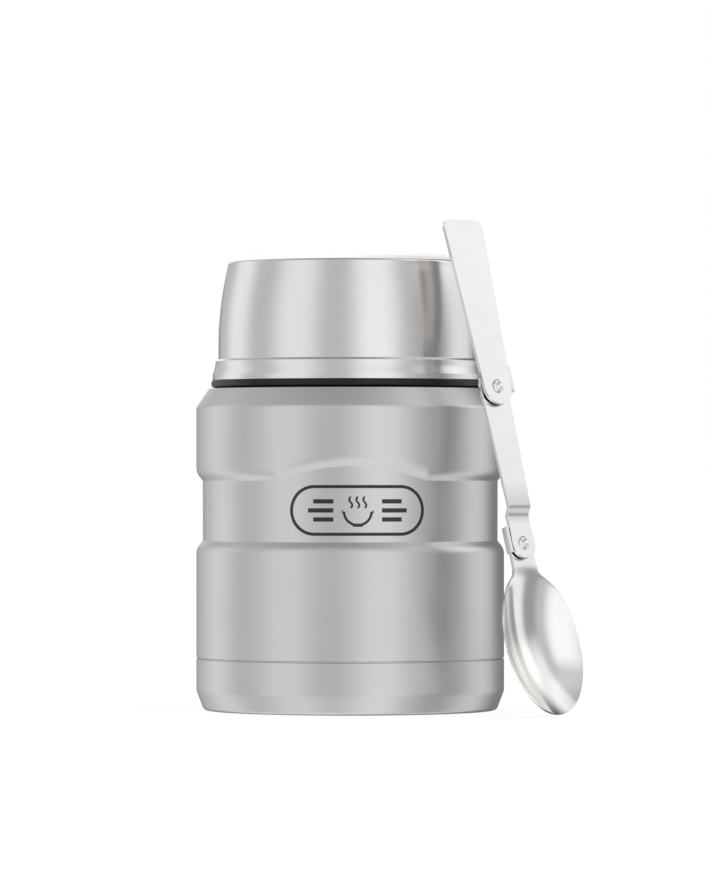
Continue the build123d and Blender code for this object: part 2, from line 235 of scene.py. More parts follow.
def new_piece(name: str, shape: Shape, sharp_angle: float = 35.0) -> bpy.types.Object:
    """Make a mesh object with outward normals and smooth shading.

    Args:
        name: Name of the piece.
        shape: Its points, and its faces as point numbers.
        sharp_angle: Edges that turn more than this many degrees stay sharp.

    Returns:
        The new object, linked to the scene.
    """
    points, faces = shape
    mesh = bpy.data.meshes.new(name)
    mesh.from_pydata(points, [], faces)
    work = bmesh.new()
    work.from_mesh(mesh)
    bmesh.ops.recalc_face_normals(work, faces=work.faces)
    work.to_mesh(mesh)
    work.free()
    mesh.shade_smooth()
    mesh.set_sharp_from_angle(angle=math.radians(sharp_angle))
    piece = bpy.data.objects.new(name, mesh)
    bpy.context.scene.collection.objects.link(piece)
    return piece


def round_axis(angle: float, radius: float, height: float) -> Place:
    """Return the point at an angle from -Y, a radius and a height."""
    return radius * math.sin(angle), -radius * math.cos(angle), height


def turned_piece(
    name: str,
    section: Callable[[float], Sequence[Point]],
    sharp_angle: float = 50.0,
) -> bpy.types.Object:
    """Turn a closed section round the Z axis; the section may change with the angle.

    Args:
        name: Name of the piece.
        section: Gives the closed section, as (radius, height), at an angle from -Y.
        sharp_angle: Edges that turn more than this many degrees stay sharp.

    Returns:
        The new object.
    """
    on_axis = 1e-6
    angles = [FULL_TURN * step / ROUND_TURNS for step in range(ROUND_TURNS)]
    columns = [section(angle) for angle in angles]
    rings = []
    for row, (radius, height) in enumerate(columns[0]):
        if radius < on_axis:
            rings.append([(0.0, 0.0, height)])
        else:
            rings.append([round_axis(angle, *line[row]) for angle, line in zip(angles, columns)])
    touches_axis = len(rings[0]) == 1 and len(rings[-1]) == 1
    return new_piece(name, joined_rings(rings, closed=not touches_axis), sharp_angle)


def turned(name: str, corners: Sequence[Corner], sharp_angle: float = 50.0) -> bpy.types.Object:
    """Turn one closed section of corners round the Z axis."""
    starts_on_axis = corners[0][0] == 0 and corners[-1][0] == 0
    line = rounded_line(corners, closed=not starts_on_axis)
    return turned_piece(name, lambda angle: line, sharp_angle)


@dataclass(frozen=True)
class Thread:
    """Right-hand ridges on a round wall.

    A positive depth stands outwards from the wall and a negative one stands inwards.
    """

    name: str
    wall_radius: float
    depth: float
    low: float
    high: float
    turned_by: float = 0.0  # degrees from -Y, where the first ridge starts
    starts: int = 3
    foot: float = 0.0021  # height of the ridge at the wall
    crest: float = 0.0009
    sunk: float = 0.0002  # how far its foot reaches into the wall
    run_out: float = 0.35  # radians over which each end fades
    steps: int = 90

    def build(self) -> bpy.types.Object:
        """Build the ridges as one piece and return it."""
        side = math.copysign(1.0, self.depth)
        sweep = FULL_TURN * (self.high - self.low - self.foot) / LEAD
        ridges = []
        for start in range(self.starts):
            first = FULL_TURN * start / self.starts + math.radians(self.turned_by)
            rings = []
            for turn in (sweep * share for share in shares(self.steps)):
                fade = min(1.0, turn / self.run_out, (sweep - turn) / self.run_out)
                rise = abs(self.depth) * math.sin(fade * QUARTER)
                middle = self.low + self.foot / 2 + LEAD * turn / FULL_TURN
                profile = (
                    (-self.sunk, -self.foot / 2),
                    (rise, -self.crest / 2),
                    (rise, self.crest / 2),
                    (-self.sunk, self.foot / 2),
                )
                ring = []
                for out, up in profile:
                    radius = self.wall_radius + side * out
                    ring.append(round_axis(first + turn, radius, middle + up))
                rings.append(ring)
            ridges.append(joined_rings(rings, capped=True))
        return new_piece(self.name, merged(ridges), sharp_angle=75.0)


# ------------------------------------------------------------------ shader groups


class Wiring:
    """Adds and joins nodes in one node tree."""

    def __init__(self, tree: bpy.types.NodeTree) -> None:
        """Keep the tree and clear it."""
        self.tree = tree
        tree.nodes.clear()

    def feed(self, node: bpy.types.Node, inputs: dict) -> None:
        """Set a node's inputs, by name or number, to values, or join them to sockets."""
        for key, value in inputs.items():
            if isinstance(value, Socket):
                self.tree.links.new(value, node.inputs[key])
            else:
                node.inputs[key].default_value = value

    def node(self, kind: str, inputs: Optional[dict] = None, **settings) -> bpy.types.Node:
        """Add a node.

        Args:
            kind: Blender's name of the node type.
            inputs: Socket name or number to a value, or to a socket to join.
            settings: Properties of the node.

        Returns:
            The new node.
        """
        made = self.tree.nodes.new(kind)
        for key, value in settings.items():
            setattr(made, key, value)
        self.feed(made, inputs or {})
        return made

    def coordinates(self, kind: str = "Object") -> Socket:
        """Return the texture coordinates of a kind."""
        return self.node("ShaderNodeTexCoord").outputs[kind]

    def math(self, operation: str, *values) -> Socket:
        """Add a math node with its inputs in order and return its output."""
        return self.node("ShaderNodeMath", dict(enumerate(values)), operation=operation).outputs[0]

    def ramp(self, value, low, high, to_low=0.0, to_high=1.0) -> Socket:
        """Map a value smoothly from one range to another and return the result."""
        inputs = {0: value, 1: low, 2: high, 3: to_low, 4: to_high}
        made = self.node("ShaderNodeMapRange", inputs, interpolation_type="SMOOTHSTEP")
        return made.outputs[0]

    def levelled(self, vector: Socket) -> tuple[Socket, Socket]:
        """Split a vector into its level direction, of length 1, and its height."""
        parts = self.node("ShaderNodeSeparateXYZ", {0: vector})
        flat = self.node("ShaderNodeCombineXYZ", {0: parts.outputs[0], 1: parts.outputs[1]})
        level = self.node("ShaderNodeVectorMath", {0: flat.outputs[0]}, operation="NORMALIZE")
        return level.outputs[0], parts.outputs[2]

    def bump(self, height: Socket, depth: float) -> Socket:
        """Return the normal of a surface whose relief is this many metres deep."""
        inputs = {"Height": height, "Strength": 1.0, "Distance": depth}
        return self.node("ShaderNodeBump", inputs).outputs[0]


def shader_group(
    name: str, inputs: dict[str, Any], outputs: Sequence[str]
) -> tuple[Wiring, bpy.types.Node, bpy.types.Node]:
    """Start a shader node group.

    Args:
        name: Name of the group.
        inputs: Input names with their defaults; three numbers make a vector input.
        outputs: Names of its outputs, all of them numbers.

    Returns:
        The group's wiring, the node that gives its inputs and the node that takes its outputs.
    """
    wiring = Wiring(bpy.data.node_groups.new(name, "ShaderNodeTree"))
    interface = wiring.tree.interface
    for socket, value in inputs.items():
        kind = "NodeSocketVector" if isinstance(value, tuple) else "NodeSocketFloat"
        made = interface.new_socket(name=socket, in_out="INPUT", socket_type=kind)
        made.default_value = value
    for socket in outputs:
        interface.new_socket(name=socket, in_out="OUTPUT", socket_type="NodeSocketFloat")
    return wiring, wiring.node("NodeGroupInput"), wiring.node("NodeGroupOutput")


def turned_grain_group() -> bpy.types.NodeTree:
    """Fine lines round a turned wall, left by polishing it on a lathe.

    Returns:
        A group with inputs Lines and Drift and outputs Value and Height.
    """
    wiring, source, result = shader_group(
        "turned_grain", {"Lines": 5000.0, "Drift": 3.0}, ("Value", "Height")
    )
    around, height = wiring.levelled(wiring.coordinates())
    spread = wiring.node(
        "ShaderNodeVectorMath", {0: around, "Scale": source.outputs["Drift"]}, operation="SCALE"
    )
    circle = wiring.node("ShaderNodeSeparateXYZ", {0: spread.outputs[0]}).outputs
    row = wiring.math("MULTIPLY", height, source.outputs["Lines"])
    place = wiring.node("ShaderNodeCombineXYZ", {0: circle[0], 1: circle[1], 2: row})
    noise = wiring.node(
        "ShaderNodeTexNoise", {"Vector": place.outputs[0], "Scale": 1.0, "Detail": 3.0}
    )
    wiring.feed(result, {"Value": noise.outputs[0], "Height": noise.outputs[0]})
    return wiring.tree


def handling_group() -> bpy.types.NodeTree:
    """Soft patches where hands and cloths have passed over a surface.

    Returns:
        A group with input Size and output Mask.
    """
    wiring, source, result = shader_group("handling_marks", {"Size": 60.0}, ("Mask",))
    size = source.outputs["Size"]
    broad = wiring.node(
        "ShaderNodeTexNoise",
        {"Vector": wiring.coordinates(), "Scale": size, "Detail": 4.0, "Distortion": 0.6},
    )
    wiring.feed(result, {"Mask": wiring.ramp(broad.outputs[0], low=0.35, high=0.7)})
    return wiring.tree


def moulded_skin_group() -> bpy.types.NodeTree:
    """The fine pebbled skin that a spark-eroded mould leaves on plastic and rubber.

    Returns:
        A group with input Size and outputs Value and Height.
    """
    wiring, source, result = shader_group("moulded_skin", {"Size": 2500.0}, ("Value", "Height"))
    place = wiring.coordinates()
    pebbles = wiring.node(
        "ShaderNodeTexVoronoi", {"Vector": place, "Scale": source.outputs["Size"]}
    )
    broad = wiring.node("ShaderNodeTexNoise", {"Vector": place, "Scale": 90.0, "Detail": 3.0})
    relief = wiring.ramp(pebbles.outputs["Distance"], low=0.0, high=0.8)
    wiring.feed(result, {"Value": broad.outputs[0], "Height": relief})
    return wiring.tree


def soft_box_group() -> bpy.types.NodeTree:
    """Light from one soft box, as a share of its strength along a direction.

    Returns:
        A group with inputs Direction, Facing, Edge, Core, Low and High and output Share.
    """
    nowhere = (0.0, 0.0, 0.0)
    inputs = {"Direction": nowhere, "Facing": nowhere}
    inputs |= {"Edge": 0.0, "Core": 1.0, "Low": -0.2, "High": 0.8}
    wiring, source, result = shader_group("soft_box", inputs, ("Share",))
    level, height = wiring.levelled(source.outputs["Direction"])
    facing = wiring.node(
        "ShaderNodeVectorMath", {0: level, 1: source.outputs["Facing"]}, operation="DOT_PRODUCT"
    )
    across = wiring.ramp(facing.outputs["Value"], source.outputs["Edge"], source.outputs["Core"])
    fade = 0.25
    low, high = source.outputs["Low"], source.outputs["High"]
    rising = wiring.ramp(height, low, wiring.math("ADD", low, fade))
    falling = wiring.ramp(height, high, wiring.math("SUBTRACT", high, fade))
    upright = wiring.math("MULTIPLY", rising, falling)
    wiring.feed(result, {"Share": wiring.math("MULTIPLY", across, upright)})
    return wiring.tree


class Effect(Enum):
    """Shared surface effects, each with the function that builds its group."""

    TURNED_GRAIN = "turned_grain"
    HANDLING = "handling_marks"
    MOULDED_SKIN = "moulded_skin"
    SOFT_BOX = "soft_box"

    def tree(self) -> bpy.types.NodeTree:
        """Return the effect's node group, built the first time that it is asked for."""
        made = bpy.data.node_groups.get(self.value)
        if made is not None:
            return made
        makers = {
            Effect.TURNED_GRAIN: turned_grain_group,
            Effect.HANDLING: handling_group,
            Effect.MOULDED_SKIN: moulded_skin_group,
            Effect.SOFT_BOX: soft_box_group,
        }
        return makers[self]()

    def place(self, wiring: Wiring, inputs: dict) -> Any:
        """Add the effect to a node tree with its own values and return its outputs."""
        return wiring.node("ShaderNodeGroup", inputs, node_tree=self.tree()).outputs


# ------------------------------------------------------------------ finishes


@dataclass(frozen=True)
class Finish:
    """What every finish has: its name, and a colour and a roughness that vary a little."""

    name: str
    colour: Colour
    roughness: float

    def start(self) -> tuple[bpy.types.Material, Wiring, bpy.types.Node]:
        """Start the material and return it with its wiring and its Principled shader."""
        material = bpy.data.materials.new(self.name)
        material.use_nodes = True
        wiring = Wiring(material.node_tree)
        shader = wiring.node("ShaderNodeBsdfPrincipled")
        wiring.node("ShaderNodeOutputMaterial", {0: shader.outputs[0]})
        return material, wiring, shader

    def tint(self, wiring: Wiring, mask: Socket, low: float, high: float) -> Socket:
        """Return the colour, scaled by a share where a mask is low and another where high."""
        dim = (*(part * low for part in self.colour), 1.0)
        bright = (*(part * high for part in self.colour), 1.0)
        inputs = {"Factor": mask, MIX_LOW: dim, MIX_HIGH: bright}
        return wiring.node("ShaderNodeMix", inputs, data_type="RGBA").outputs[MIX_COLOUR]


@dataclass(frozen=True)
class TurnedSteel(Finish):
    """Stainless steel polished on a lathe to an even satin."""

    lines: float = 9000.0  # noise cells per metre of height
    line_depth: float = 0.0000012
    line_tint: float = 0.975
    line_roughness: float = 0.04
    patch_size: float = 35.0
    patchiness: float = 0.03

    def build(self) -> bpy.types.Material:
        """Build and return the material."""
        material, wiring, shader = self.start()
        grain = Effect.TURNED_GRAIN.place(wiring, {"Lines": self.lines})
        marks = Effect.HANDLING.place(wiring, {"Size": self.patch_size})["Mask"]
        worn = wiring.math("MULTIPLY_ADD", marks, self.patchiness, self.roughness)
        inputs = {
            "Base Color": self.tint(wiring, grain["Value"], self.line_tint, 1.0),
            "Roughness": wiring.math("MULTIPLY_ADD", grain["Value"], self.line_roughness, worn),
            "Normal": wiring.bump(grain["Height"], self.line_depth),
            "Metallic": 1.0,
        }
        wiring.feed(shader, inputs)
        return material


@dataclass(frozen=True)
class PolishedSteel(Finish):
    """Stainless steel tumbled and buffed bright, with faint marks of use."""

    mark_size: float = 110.0
    mark_tint: float = 0.985
    mark_roughness: float = 0.035

    def build(self) -> bpy.types.Material:
        """Build and return the material."""
        material, wiring, shader = self.start()
        marks = Effect.HANDLING.place(wiring, {"Size": self.mark_size})["Mask"]
        inputs = {
            "Base Color": self.tint(wiring, marks, 1.0, self.mark_tint),
            "Roughness": wiring.math("MULTIPLY_ADD", marks, self.mark_roughness, self.roughness),
            "Metallic": 1.0,
        }
        wiring.feed(shader, inputs)
        return material


@dataclass(frozen=True)
class Moulded(Finish):
    """Moulded plastic, rubber or foam with the skin that its mould leaves."""

    pebble_size: float = 2500.0  # pebbles per metre
    pebble_depth: float = 0.000004
    variation: float = 0.12
    roughness_range: float = 0.1
    shine: float = 0.5

    def build(self) -> bpy.types.Material:
        """Build and return the material."""
        material, wiring, shader = self.start()
        skin = Effect.MOULDED_SKIN.place(wiring, {"Size": self.pebble_size})
        smoothest = self.roughness - self.roughness_range / 2
        value = skin["Value"]
        inputs = {
            "Base Color": self.tint(wiring, value, 1 - self.variation, 1.0),
            "Roughness": wiring.math("MULTIPLY_ADD", value, self.roughness_range, smoothest),
            "Normal": wiring.bump(skin["Height"], self.pebble_depth),
            "Specular IOR Level": self.shine,
        }
        wiring.feed(shader, inputs)
        return material


@dataclass(frozen=True)
class CrinkledMetal(Finish):
    """Foil, solder or a sintered pill, creased or grained over its whole surface."""

    crease_size: float = 900.0  # creases per metre
    crease_depth: float = 0.00006
    mark_size: float = 160.0
    mark_tint: float = 0.9
    mark_roughness: float = 0.08

    def build(self) -> bpy.types.Material:
        """Build and return the material."""
        material, wiring, shader = self.start()
        creases = wiring.node(
            "ShaderNodeTexVoronoi",
            {"Vector": wiring.coordinates(), "Scale": self.crease_size},
            feature="DISTANCE_TO_EDGE",
        )
        marks = Effect.HANDLING.place(wiring, {"Size": self.mark_size})["Mask"]
        inputs = {
            "Base Color": self.tint(wiring, marks, 1.0, self.mark_tint),
            "Roughness": wiring.math("MULTIPLY_ADD", marks, self.mark_roughness, self.roughness),
            "Normal": wiring.bump(creases.outputs[0], self.crease_depth),
            "Metallic": 1.0,
        }
        wiring.feed(shader, inputs)
        return material


@dataclass(frozen=True)
class Finishes:
    """Every finish of the jar, the lid and the spoon."""

    body: TurnedSteel = TurnedSteel("body_satin", (0.653, 0.641, 0.642), 0.335)
    lid: TurnedSteel = TurnedSteel("lid_satin", (0.768, 0.756, 0.750), 0.21)
    vessel: TurnedSteel = TurnedSteel("vessel_polish", (0.68, 0.675, 0.66), 0.17, lines=5000.0)
    spoon: PolishedSteel = PolishedSteel("spoon_polish", (0.848, 0.838, 0.826), 0.13)
    rivet: PolishedSteel = PolishedSteel("rivet_polish", (0.80, 0.798, 0.792), 0.10)
    black_plastic: Moulded = Moulded("black_plastic", (0.007, 0.007, 0.0075), 0.36, shine=0.3)
    grey_plastic: Moulded = Moulded("grey_plastic", (0.17, 0.175, 0.18), 0.42)
    grey_silicone: Moulded = Moulded("grey_silicone", (0.32, 0.33, 0.34), 0.55, 4000.0)
    black_silicone: Moulded = Moulded("black_silicone", (0.02, 0.02, 0.021), 0.6, 4000.0)
    foam: Moulded = Moulded("white_foam", (0.82, 0.81, 0.77), 0.85, 1400.0, 0.00012)
    ink: Moulded = Moulded("black_ink", (0.012, 0.012, 0.013), 0.38, 9000.0, 0.0000008)
    foil: CrinkledMetal = CrinkledMetal("heat_foil", (0.86, 0.86, 0.87), 0.22, 260.0, 0.0001)
    solder: CrinkledMetal = CrinkledMetal("solder", (0.55, 0.55, 0.56), 0.38)
    getter: CrinkledMetal = CrinkledMetal("getter_pill", (0.24, 0.24, 0.25), 0.6, 3000.0, 0.00003)


class Wardrobe:
    """Builds each finish once and puts it on pieces."""

    def __init__(self, finishes: Finishes) -> None:
        """Keep the finishes."""
        self.finishes = finishes
        self.made: dict[str, bpy.types.Material] = {}

    def material(self, name: str) -> bpy.types.Material:
        """Return the material of a finish by its field name."""
        if name not in self.made:
            self.made[name] = getattr(self.finishes, name).build()
        return self.made[name]

    def dress(
        self,
        piece: bpy.types.Object,
        finish: str,
        slot: str,
        body: str,
        replaces: Sequence[str] = (),
    ) -> None:
        """Give a new piece its finish, its body and the nodes that it stands for.

        Args:
            piece: The piece.
            finish: Field name of its finish.
            slot: The record's material slot; not used.
            body: The body that carries it.
            replaces: Nodes that it stands for.
        """
        piece.data.materials.append(self.material(finish))
        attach(piece, body)
        if replaces:
            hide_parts(*replaces)
        log.info("%s rides on %s, %d faces", piece.name, body, len(piece.data.polygons))

    def repaint(self, node: str, finish: str) -> None:
        """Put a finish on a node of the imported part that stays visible."""
        for place in frame["nodes"][node].material_slots:
            place.material = self.material(finish)
        log.info("%s keeps its own mesh", node)


# ------------------------------------------------------------------ jar


@dataclass
class JarBody:
    """The outer shell with its waist and arched panel, and the pressed-on base cup."""

    wardrobe: Wardrobe
    radius: float = field(default_factory=lambda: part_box("outer_shell")[1].x)
    lip: float = field(default_factory=lambda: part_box("outer_shell")[1].z)
    foot: float = field(default_factory=lambda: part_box("outer_shell")[0].z)
    seam: float = field(default_factory=lambda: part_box("base_cup")[1].z)
    seam_gap: float = 0.0004
    seam_round: float = 0.00025
    press_fit: float = 0.0001
    press_round: float = 0.0001
    waist_low: float = 0.0517
    waist_high: float = 0.0700
    waist_depth: float = 0.00197
    flank_height: float = 0.00243
    flank_round: float = 0.005
    crease_round: float = 0.0004
    arch_rise: float = 0.0044
    arch_half_angle: float = 29.0
    arch_flank_height: float = 0.0027
    arch_softness: float = 0.02
    arch_blend: float = 4.0  # how soon the flank takes the arch's height
    shoulder_low: float = 0.0923
    shoulder_high: float = 0.0981
    shoulder_inset: float = 0.0039
    shoulder_round: float = 0.0020
    neck_radius: float = 0.0346
    foot_inset: float = 0.0023
    foot_round: float = 0.0016
    ring_width: float = 0.0055
    recess: float = 0.0018
    recess_round: float = 0.0008
    recess_inner_round: float = 0.0005
    bevel_height: float = 0.0060
    bevel_round: float = 0.004

    def arch(self, angle: float) -> float:
        """Return how far the waist's upper edge rises at an angle from -Y, from 0 to 1."""
        turned_off = math.degrees(math.atan2(math.sin(angle), math.cos(angle)))
        return soft_larger(1 - (turned_off / self.arch_half_angle) ** 2, 0.0, self.arch_softness)

    def shell_section(self, angle: float) -> list[Point]:
        """Return the outer shell's closed section at an angle from -Y."""
        end_radius = self.radius - STEEL - self.press_fit
        waist = self.radius - self.waist_depth
        rise = self.arch(angle)
        crest = self.waist_high + self.arch_rise * rise
        blend = min(1.0, self.arch_blend * rise)
        flank = self.flank_height + (self.arch_flank_height - self.flank_height) * blend
        shoulder = self.radius - self.shoulder_inset
        edge = self.seam + self.seam_gap
        outside = rounded_line(
            [
                (end_radius, self.foot, 0),
                (end_radius, edge, self.press_round),
                (self.radius, edge, self.seam_round),
                (self.radius, self.waist_low - self.flank_height, self.flank_round),
                (waist, self.waist_low, self.crease_round),
                (waist, crest, self.crease_round),
                (self.radius, crest + flank, self.flank_round),
                (self.radius, self.shoulder_low, self.shoulder_round),
                (shoulder, self.shoulder_high, self.crease_round),
                (self.neck_radius, self.shoulder_high, self.crease_round),
                (self.neck_radius, self.lip, 0),
            ]
        )
        return sheet_section(outside, STEEL)

    def cup_section(self) -> list[Point]:
        """Return the base cup's closed section."""
        foot = self.radius - self.foot_inset
        ring = foot - self.ring_width
        outside = rounded_line(
            [
                (0, self.recess, 0),
                (ring - self.recess, self.recess, self.recess_round),
                (ring, 0, self.recess_round),
                (foot, 0, self.foot_round),
                (self.radius, self.bevel_height, self.bevel_round),
                (self.radius, self.seam, self.seam_round),
                (self.radius - STEEL / 2, self.seam, 0),
            ]
        )
        inner_ring = ring + STEEL / 2
        inner_recess = self.recess + STEEL
        inside = rounded_line(
            [
                (self.radius - STEEL, self.seam, 0),
                (self.radius - STEEL, self.bevel_height, self.bevel_round - STEEL),
                (foot - STEEL, STEEL, self.foot_round - STEEL),
                (inner_ring, STEEL, self.recess_inner_round),
                (inner_ring - self.recess, inner_recess, self.recess_inner_round),
                (0, inner_recess, 0),
            ]
        )
        return outside + inside

    def build(self) -> None:
        """Build the shell, its thread and the base cup."""
        dress = self.wardrobe.dress
        shell = turned_piece("jar_shell", self.shell_section)
        dress(shell, "body", "body_steel", "jar", ["outer_shell"])
        section = self.cup_section()
        cup = turned_piece("jar_base_cup", lambda angle: section)
        dress(cup, "body", "body_steel", "jar", ["base_cup"])
        thread = Thread("neck_thread", self.neck_radius, THREAD_DEPTH, low=0.1005, high=0.1110)
        dress(thread.build(), "body", "body_steel", "jar")


@dataclass
class VacuumVessel:
    """The food vessel inside the shell, with the parts that close and keep its vacuum."""

    wardrobe: Wardrobe
    radius: float = field(default_factory=lambda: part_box("inner_vessel")[1].x)
    floor: float = field(default_factory=lambda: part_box("inner_vessel")[0].z)
    lip: float = field(default_factory=lambda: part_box("inner_vessel")[1].z)
    corner: float = 0.006
    shoulder_low: float = 0.082
    shoulder_high: float = 0.092
    shoulder_round: float = 0.004
    neck_radius: float = 0.0331
    rim_round: float = 0.0001
    lip_radius: float = 0.0346
    lip_round: float = 0.00025

    def build(self) -> None:
        """Build the vessel and dress the sealed pieces."""
        rim = self.lip - STEEL
        neck = self.neck_radius - STEEL
        wall = self.radius - STEEL
        corners: list[Corner] = [
            (0, self.floor, 0),
            (self.radius, self.floor, self.corner),
            (self.radius, self.shoulder_low, self.shoulder_round),
            (self.neck_radius, self.shoulder_high, self.shoulder_round),
            (self.neck_radius, rim, self.rim_round),
            (self.lip_radius, rim, self.rim_round),
            (self.lip_radius, self.lip, self.lip_round),
            (neck, self.lip, self.lip_round * 2),
            (neck, self.shoulder_high, self.shoulder_round + STEEL),
            (wall, self.shoulder_low, self.shoulder_round - STEEL),
            (wall, self.floor + STEEL, self.corner - STEEL),
            (0, self.floor + STEEL, 0),
        ]
        vessel = turned("food_vessel", corners)
        self.wardrobe.dress(vessel, "vessel", "vessel_steel", "jar", ["inner_vessel"])
        for node, finish in (
            ("heat_foil", "foil"),
            ("vacuum_base", "vessel"),
            ("exhaust_seal", "solder"),
            ("getter", "getter"),
        ):
            self.wardrobe.repaint(node, finish)


# ------------------------------------------------------------------ stopper


@dataclass
class Stopper:
    """The screwed stopper: a shell with a recess for the spoon over an insulated plug."""

    wardrobe: Wardrobe
    flange_radius: float = field(default_factory=lambda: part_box("stopper_shell")[1].x - TRIM)
    flange_low: float = field(default_factory=lambda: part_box("stopper_shell")[0].z)
    roof: float = field(default_factory=lambda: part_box("stopper_shell")[1].z)
    plug_low: float = field(default_factory=lambda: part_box("stopper_plug")[0].z)
    plug_high: float = field(default_factory=lambda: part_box("stopper_plug")[1].z)
    plug_radius: float = field(default_factory=lambda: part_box("stopper_plug")[1].x)
    flange_high: float = 0.1005
    flange_round: float = 0.0008
    wall: float = 0.0016
    bore: float = 0.0354
    radius: float = 0.0370
    roof_thickness: float = 0.0018
    edge_round: float = 0.0003
    neck_round: float = 0.0004
    roof_round: float = 0.0006
    corner_round: float = 0.0015
    plug_inner_round: float = 0.0005
    groove_round: float = 0.0002
    gasket_width: float = 0.0015
    gasket_height: float = 0.0024
    gasket_rise: float = 0.0025
    gasket_groove: float = 0.0003
    gasket_rib: float = 0.0007  # from its middle to the crest of a rib

    def shell_corners(self) -> list[Corner]:
        """Return the corners of the shell's closed section."""
        roof_low = self.roof - self.roof_thickness
        recess = self.plug_radius - self.wall
        recess_floor = self.plug_high + self.wall
        return [
            (0, self.plug_high, 0),
            (self.plug_radius, self.plug_high, self.edge_round),
            (self.plug_radius, roof_low, self.edge_round),
            (self.bore, roof_low, self.edge_round),
            (self.bore, self.flange_low, self.edge_round),
            (self.flange_radius, self.flange_low, self.flange_round),
            (self.flange_radius, self.flange_high, self.flange_round / 2),
            (self.radius, self.flange_high, self.neck_round),
            (self.radius, self.roof, self.roof_round),
            (recess, self.roof, self.roof_round),
            (recess, recess_floor, self.corner_round),
            (0, recess_floor, 0),
        ]

    def plug_corners(self, seat: float, low: float, high: float) -> list[Corner]:
        """Return the corners of the plug's closed section.

        Args:
            seat: Radius of the gasket's groove.
            low: Height of the groove's lower side.
            high: Height of its upper side.

        Returns:
            The corners.
        """
        return [
            (0, self.plug_low, 0),
            (self.plug_radius, self.plug_low, self.corner_round),
            (self.plug_radius, low, self.groove_round),
            (seat, low, self.groove_round),
            (seat, high, self.groove_round),
            (self.plug_radius, high, self.groove_round),
            (self.plug_radius, self.plug_high, 0),
            (seat - self.wall, self.plug_high, 0),
            (seat - self.wall, self.plug_low + self.wall, self.plug_inner_round),
            (0, self.plug_low + self.wall, 0),
        ]

    def gasket_corners(self, seat: float, low: float, high: float) -> list[Corner]:
        """Return the corners of the gasket's section, for the same groove as the plug's."""
        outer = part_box("stopper_gasket")[1].x
        groove = outer - self.gasket_groove
        middle = (low + high) / 2
        return [
            (seat + PLAY, low + PLAY, self.edge_round),
            (groove, low + PLAY, self.groove_round),
            (outer, middle - self.gasket_rib, self.edge_round),
            (groove, middle, self.edge_round),
            (outer, middle + self.gasket_rib, self.edge_round),
            (groove, high - PLAY, self.groove_round),
            (seat + PLAY, high - PLAY, self.edge_round),
        ]

    def build(self) -> None:
        """Build the shell, the plug, the gasket and the threads."""
        dress = self.wardrobe.dress
        shell = turned("stopper_shell_moulding", self.shell_corners())
        dress(shell, "black_plastic", "black_plastic", "stopper", ["stopper_shell"])
        low = self.plug_low + self.gasket_rise
        groove = (self.plug_radius - self.gasket_width, low, low + self.gasket_height)
        plug = turned("stopper_plug_moulding", self.plug_corners(*groove))
        dress(plug, "grey_plastic", "grey_plastic", "stopper", ["stopper_plug"])
        gasket = turned("stopper_gasket_ring", self.gasket_corners(*groove), sharp_angle=60)
        dress(gasket, "grey_silicone", "grey_silicone", "stopper_seal", ["stopper_gasket"])
        inner = Thread(
            "stopper_bore_thread", self.bore, -THREAD_DEPTH, low=0.0992, high=0.1110, turned_by=60
        )
        dress(inner.build(), "black_plastic", "black_plastic", "stopper")
        outer = Thread("stopper_lid_thread", self.radius, THREAD_DEPTH, low=0.1032, high=0.1136)
        dress(outer.build(), "black_plastic", "black_plastic", "stopper")
        self.wardrobe.repaint("stopper_foam", "foam")


# ------------------------------------------------------------------ lid


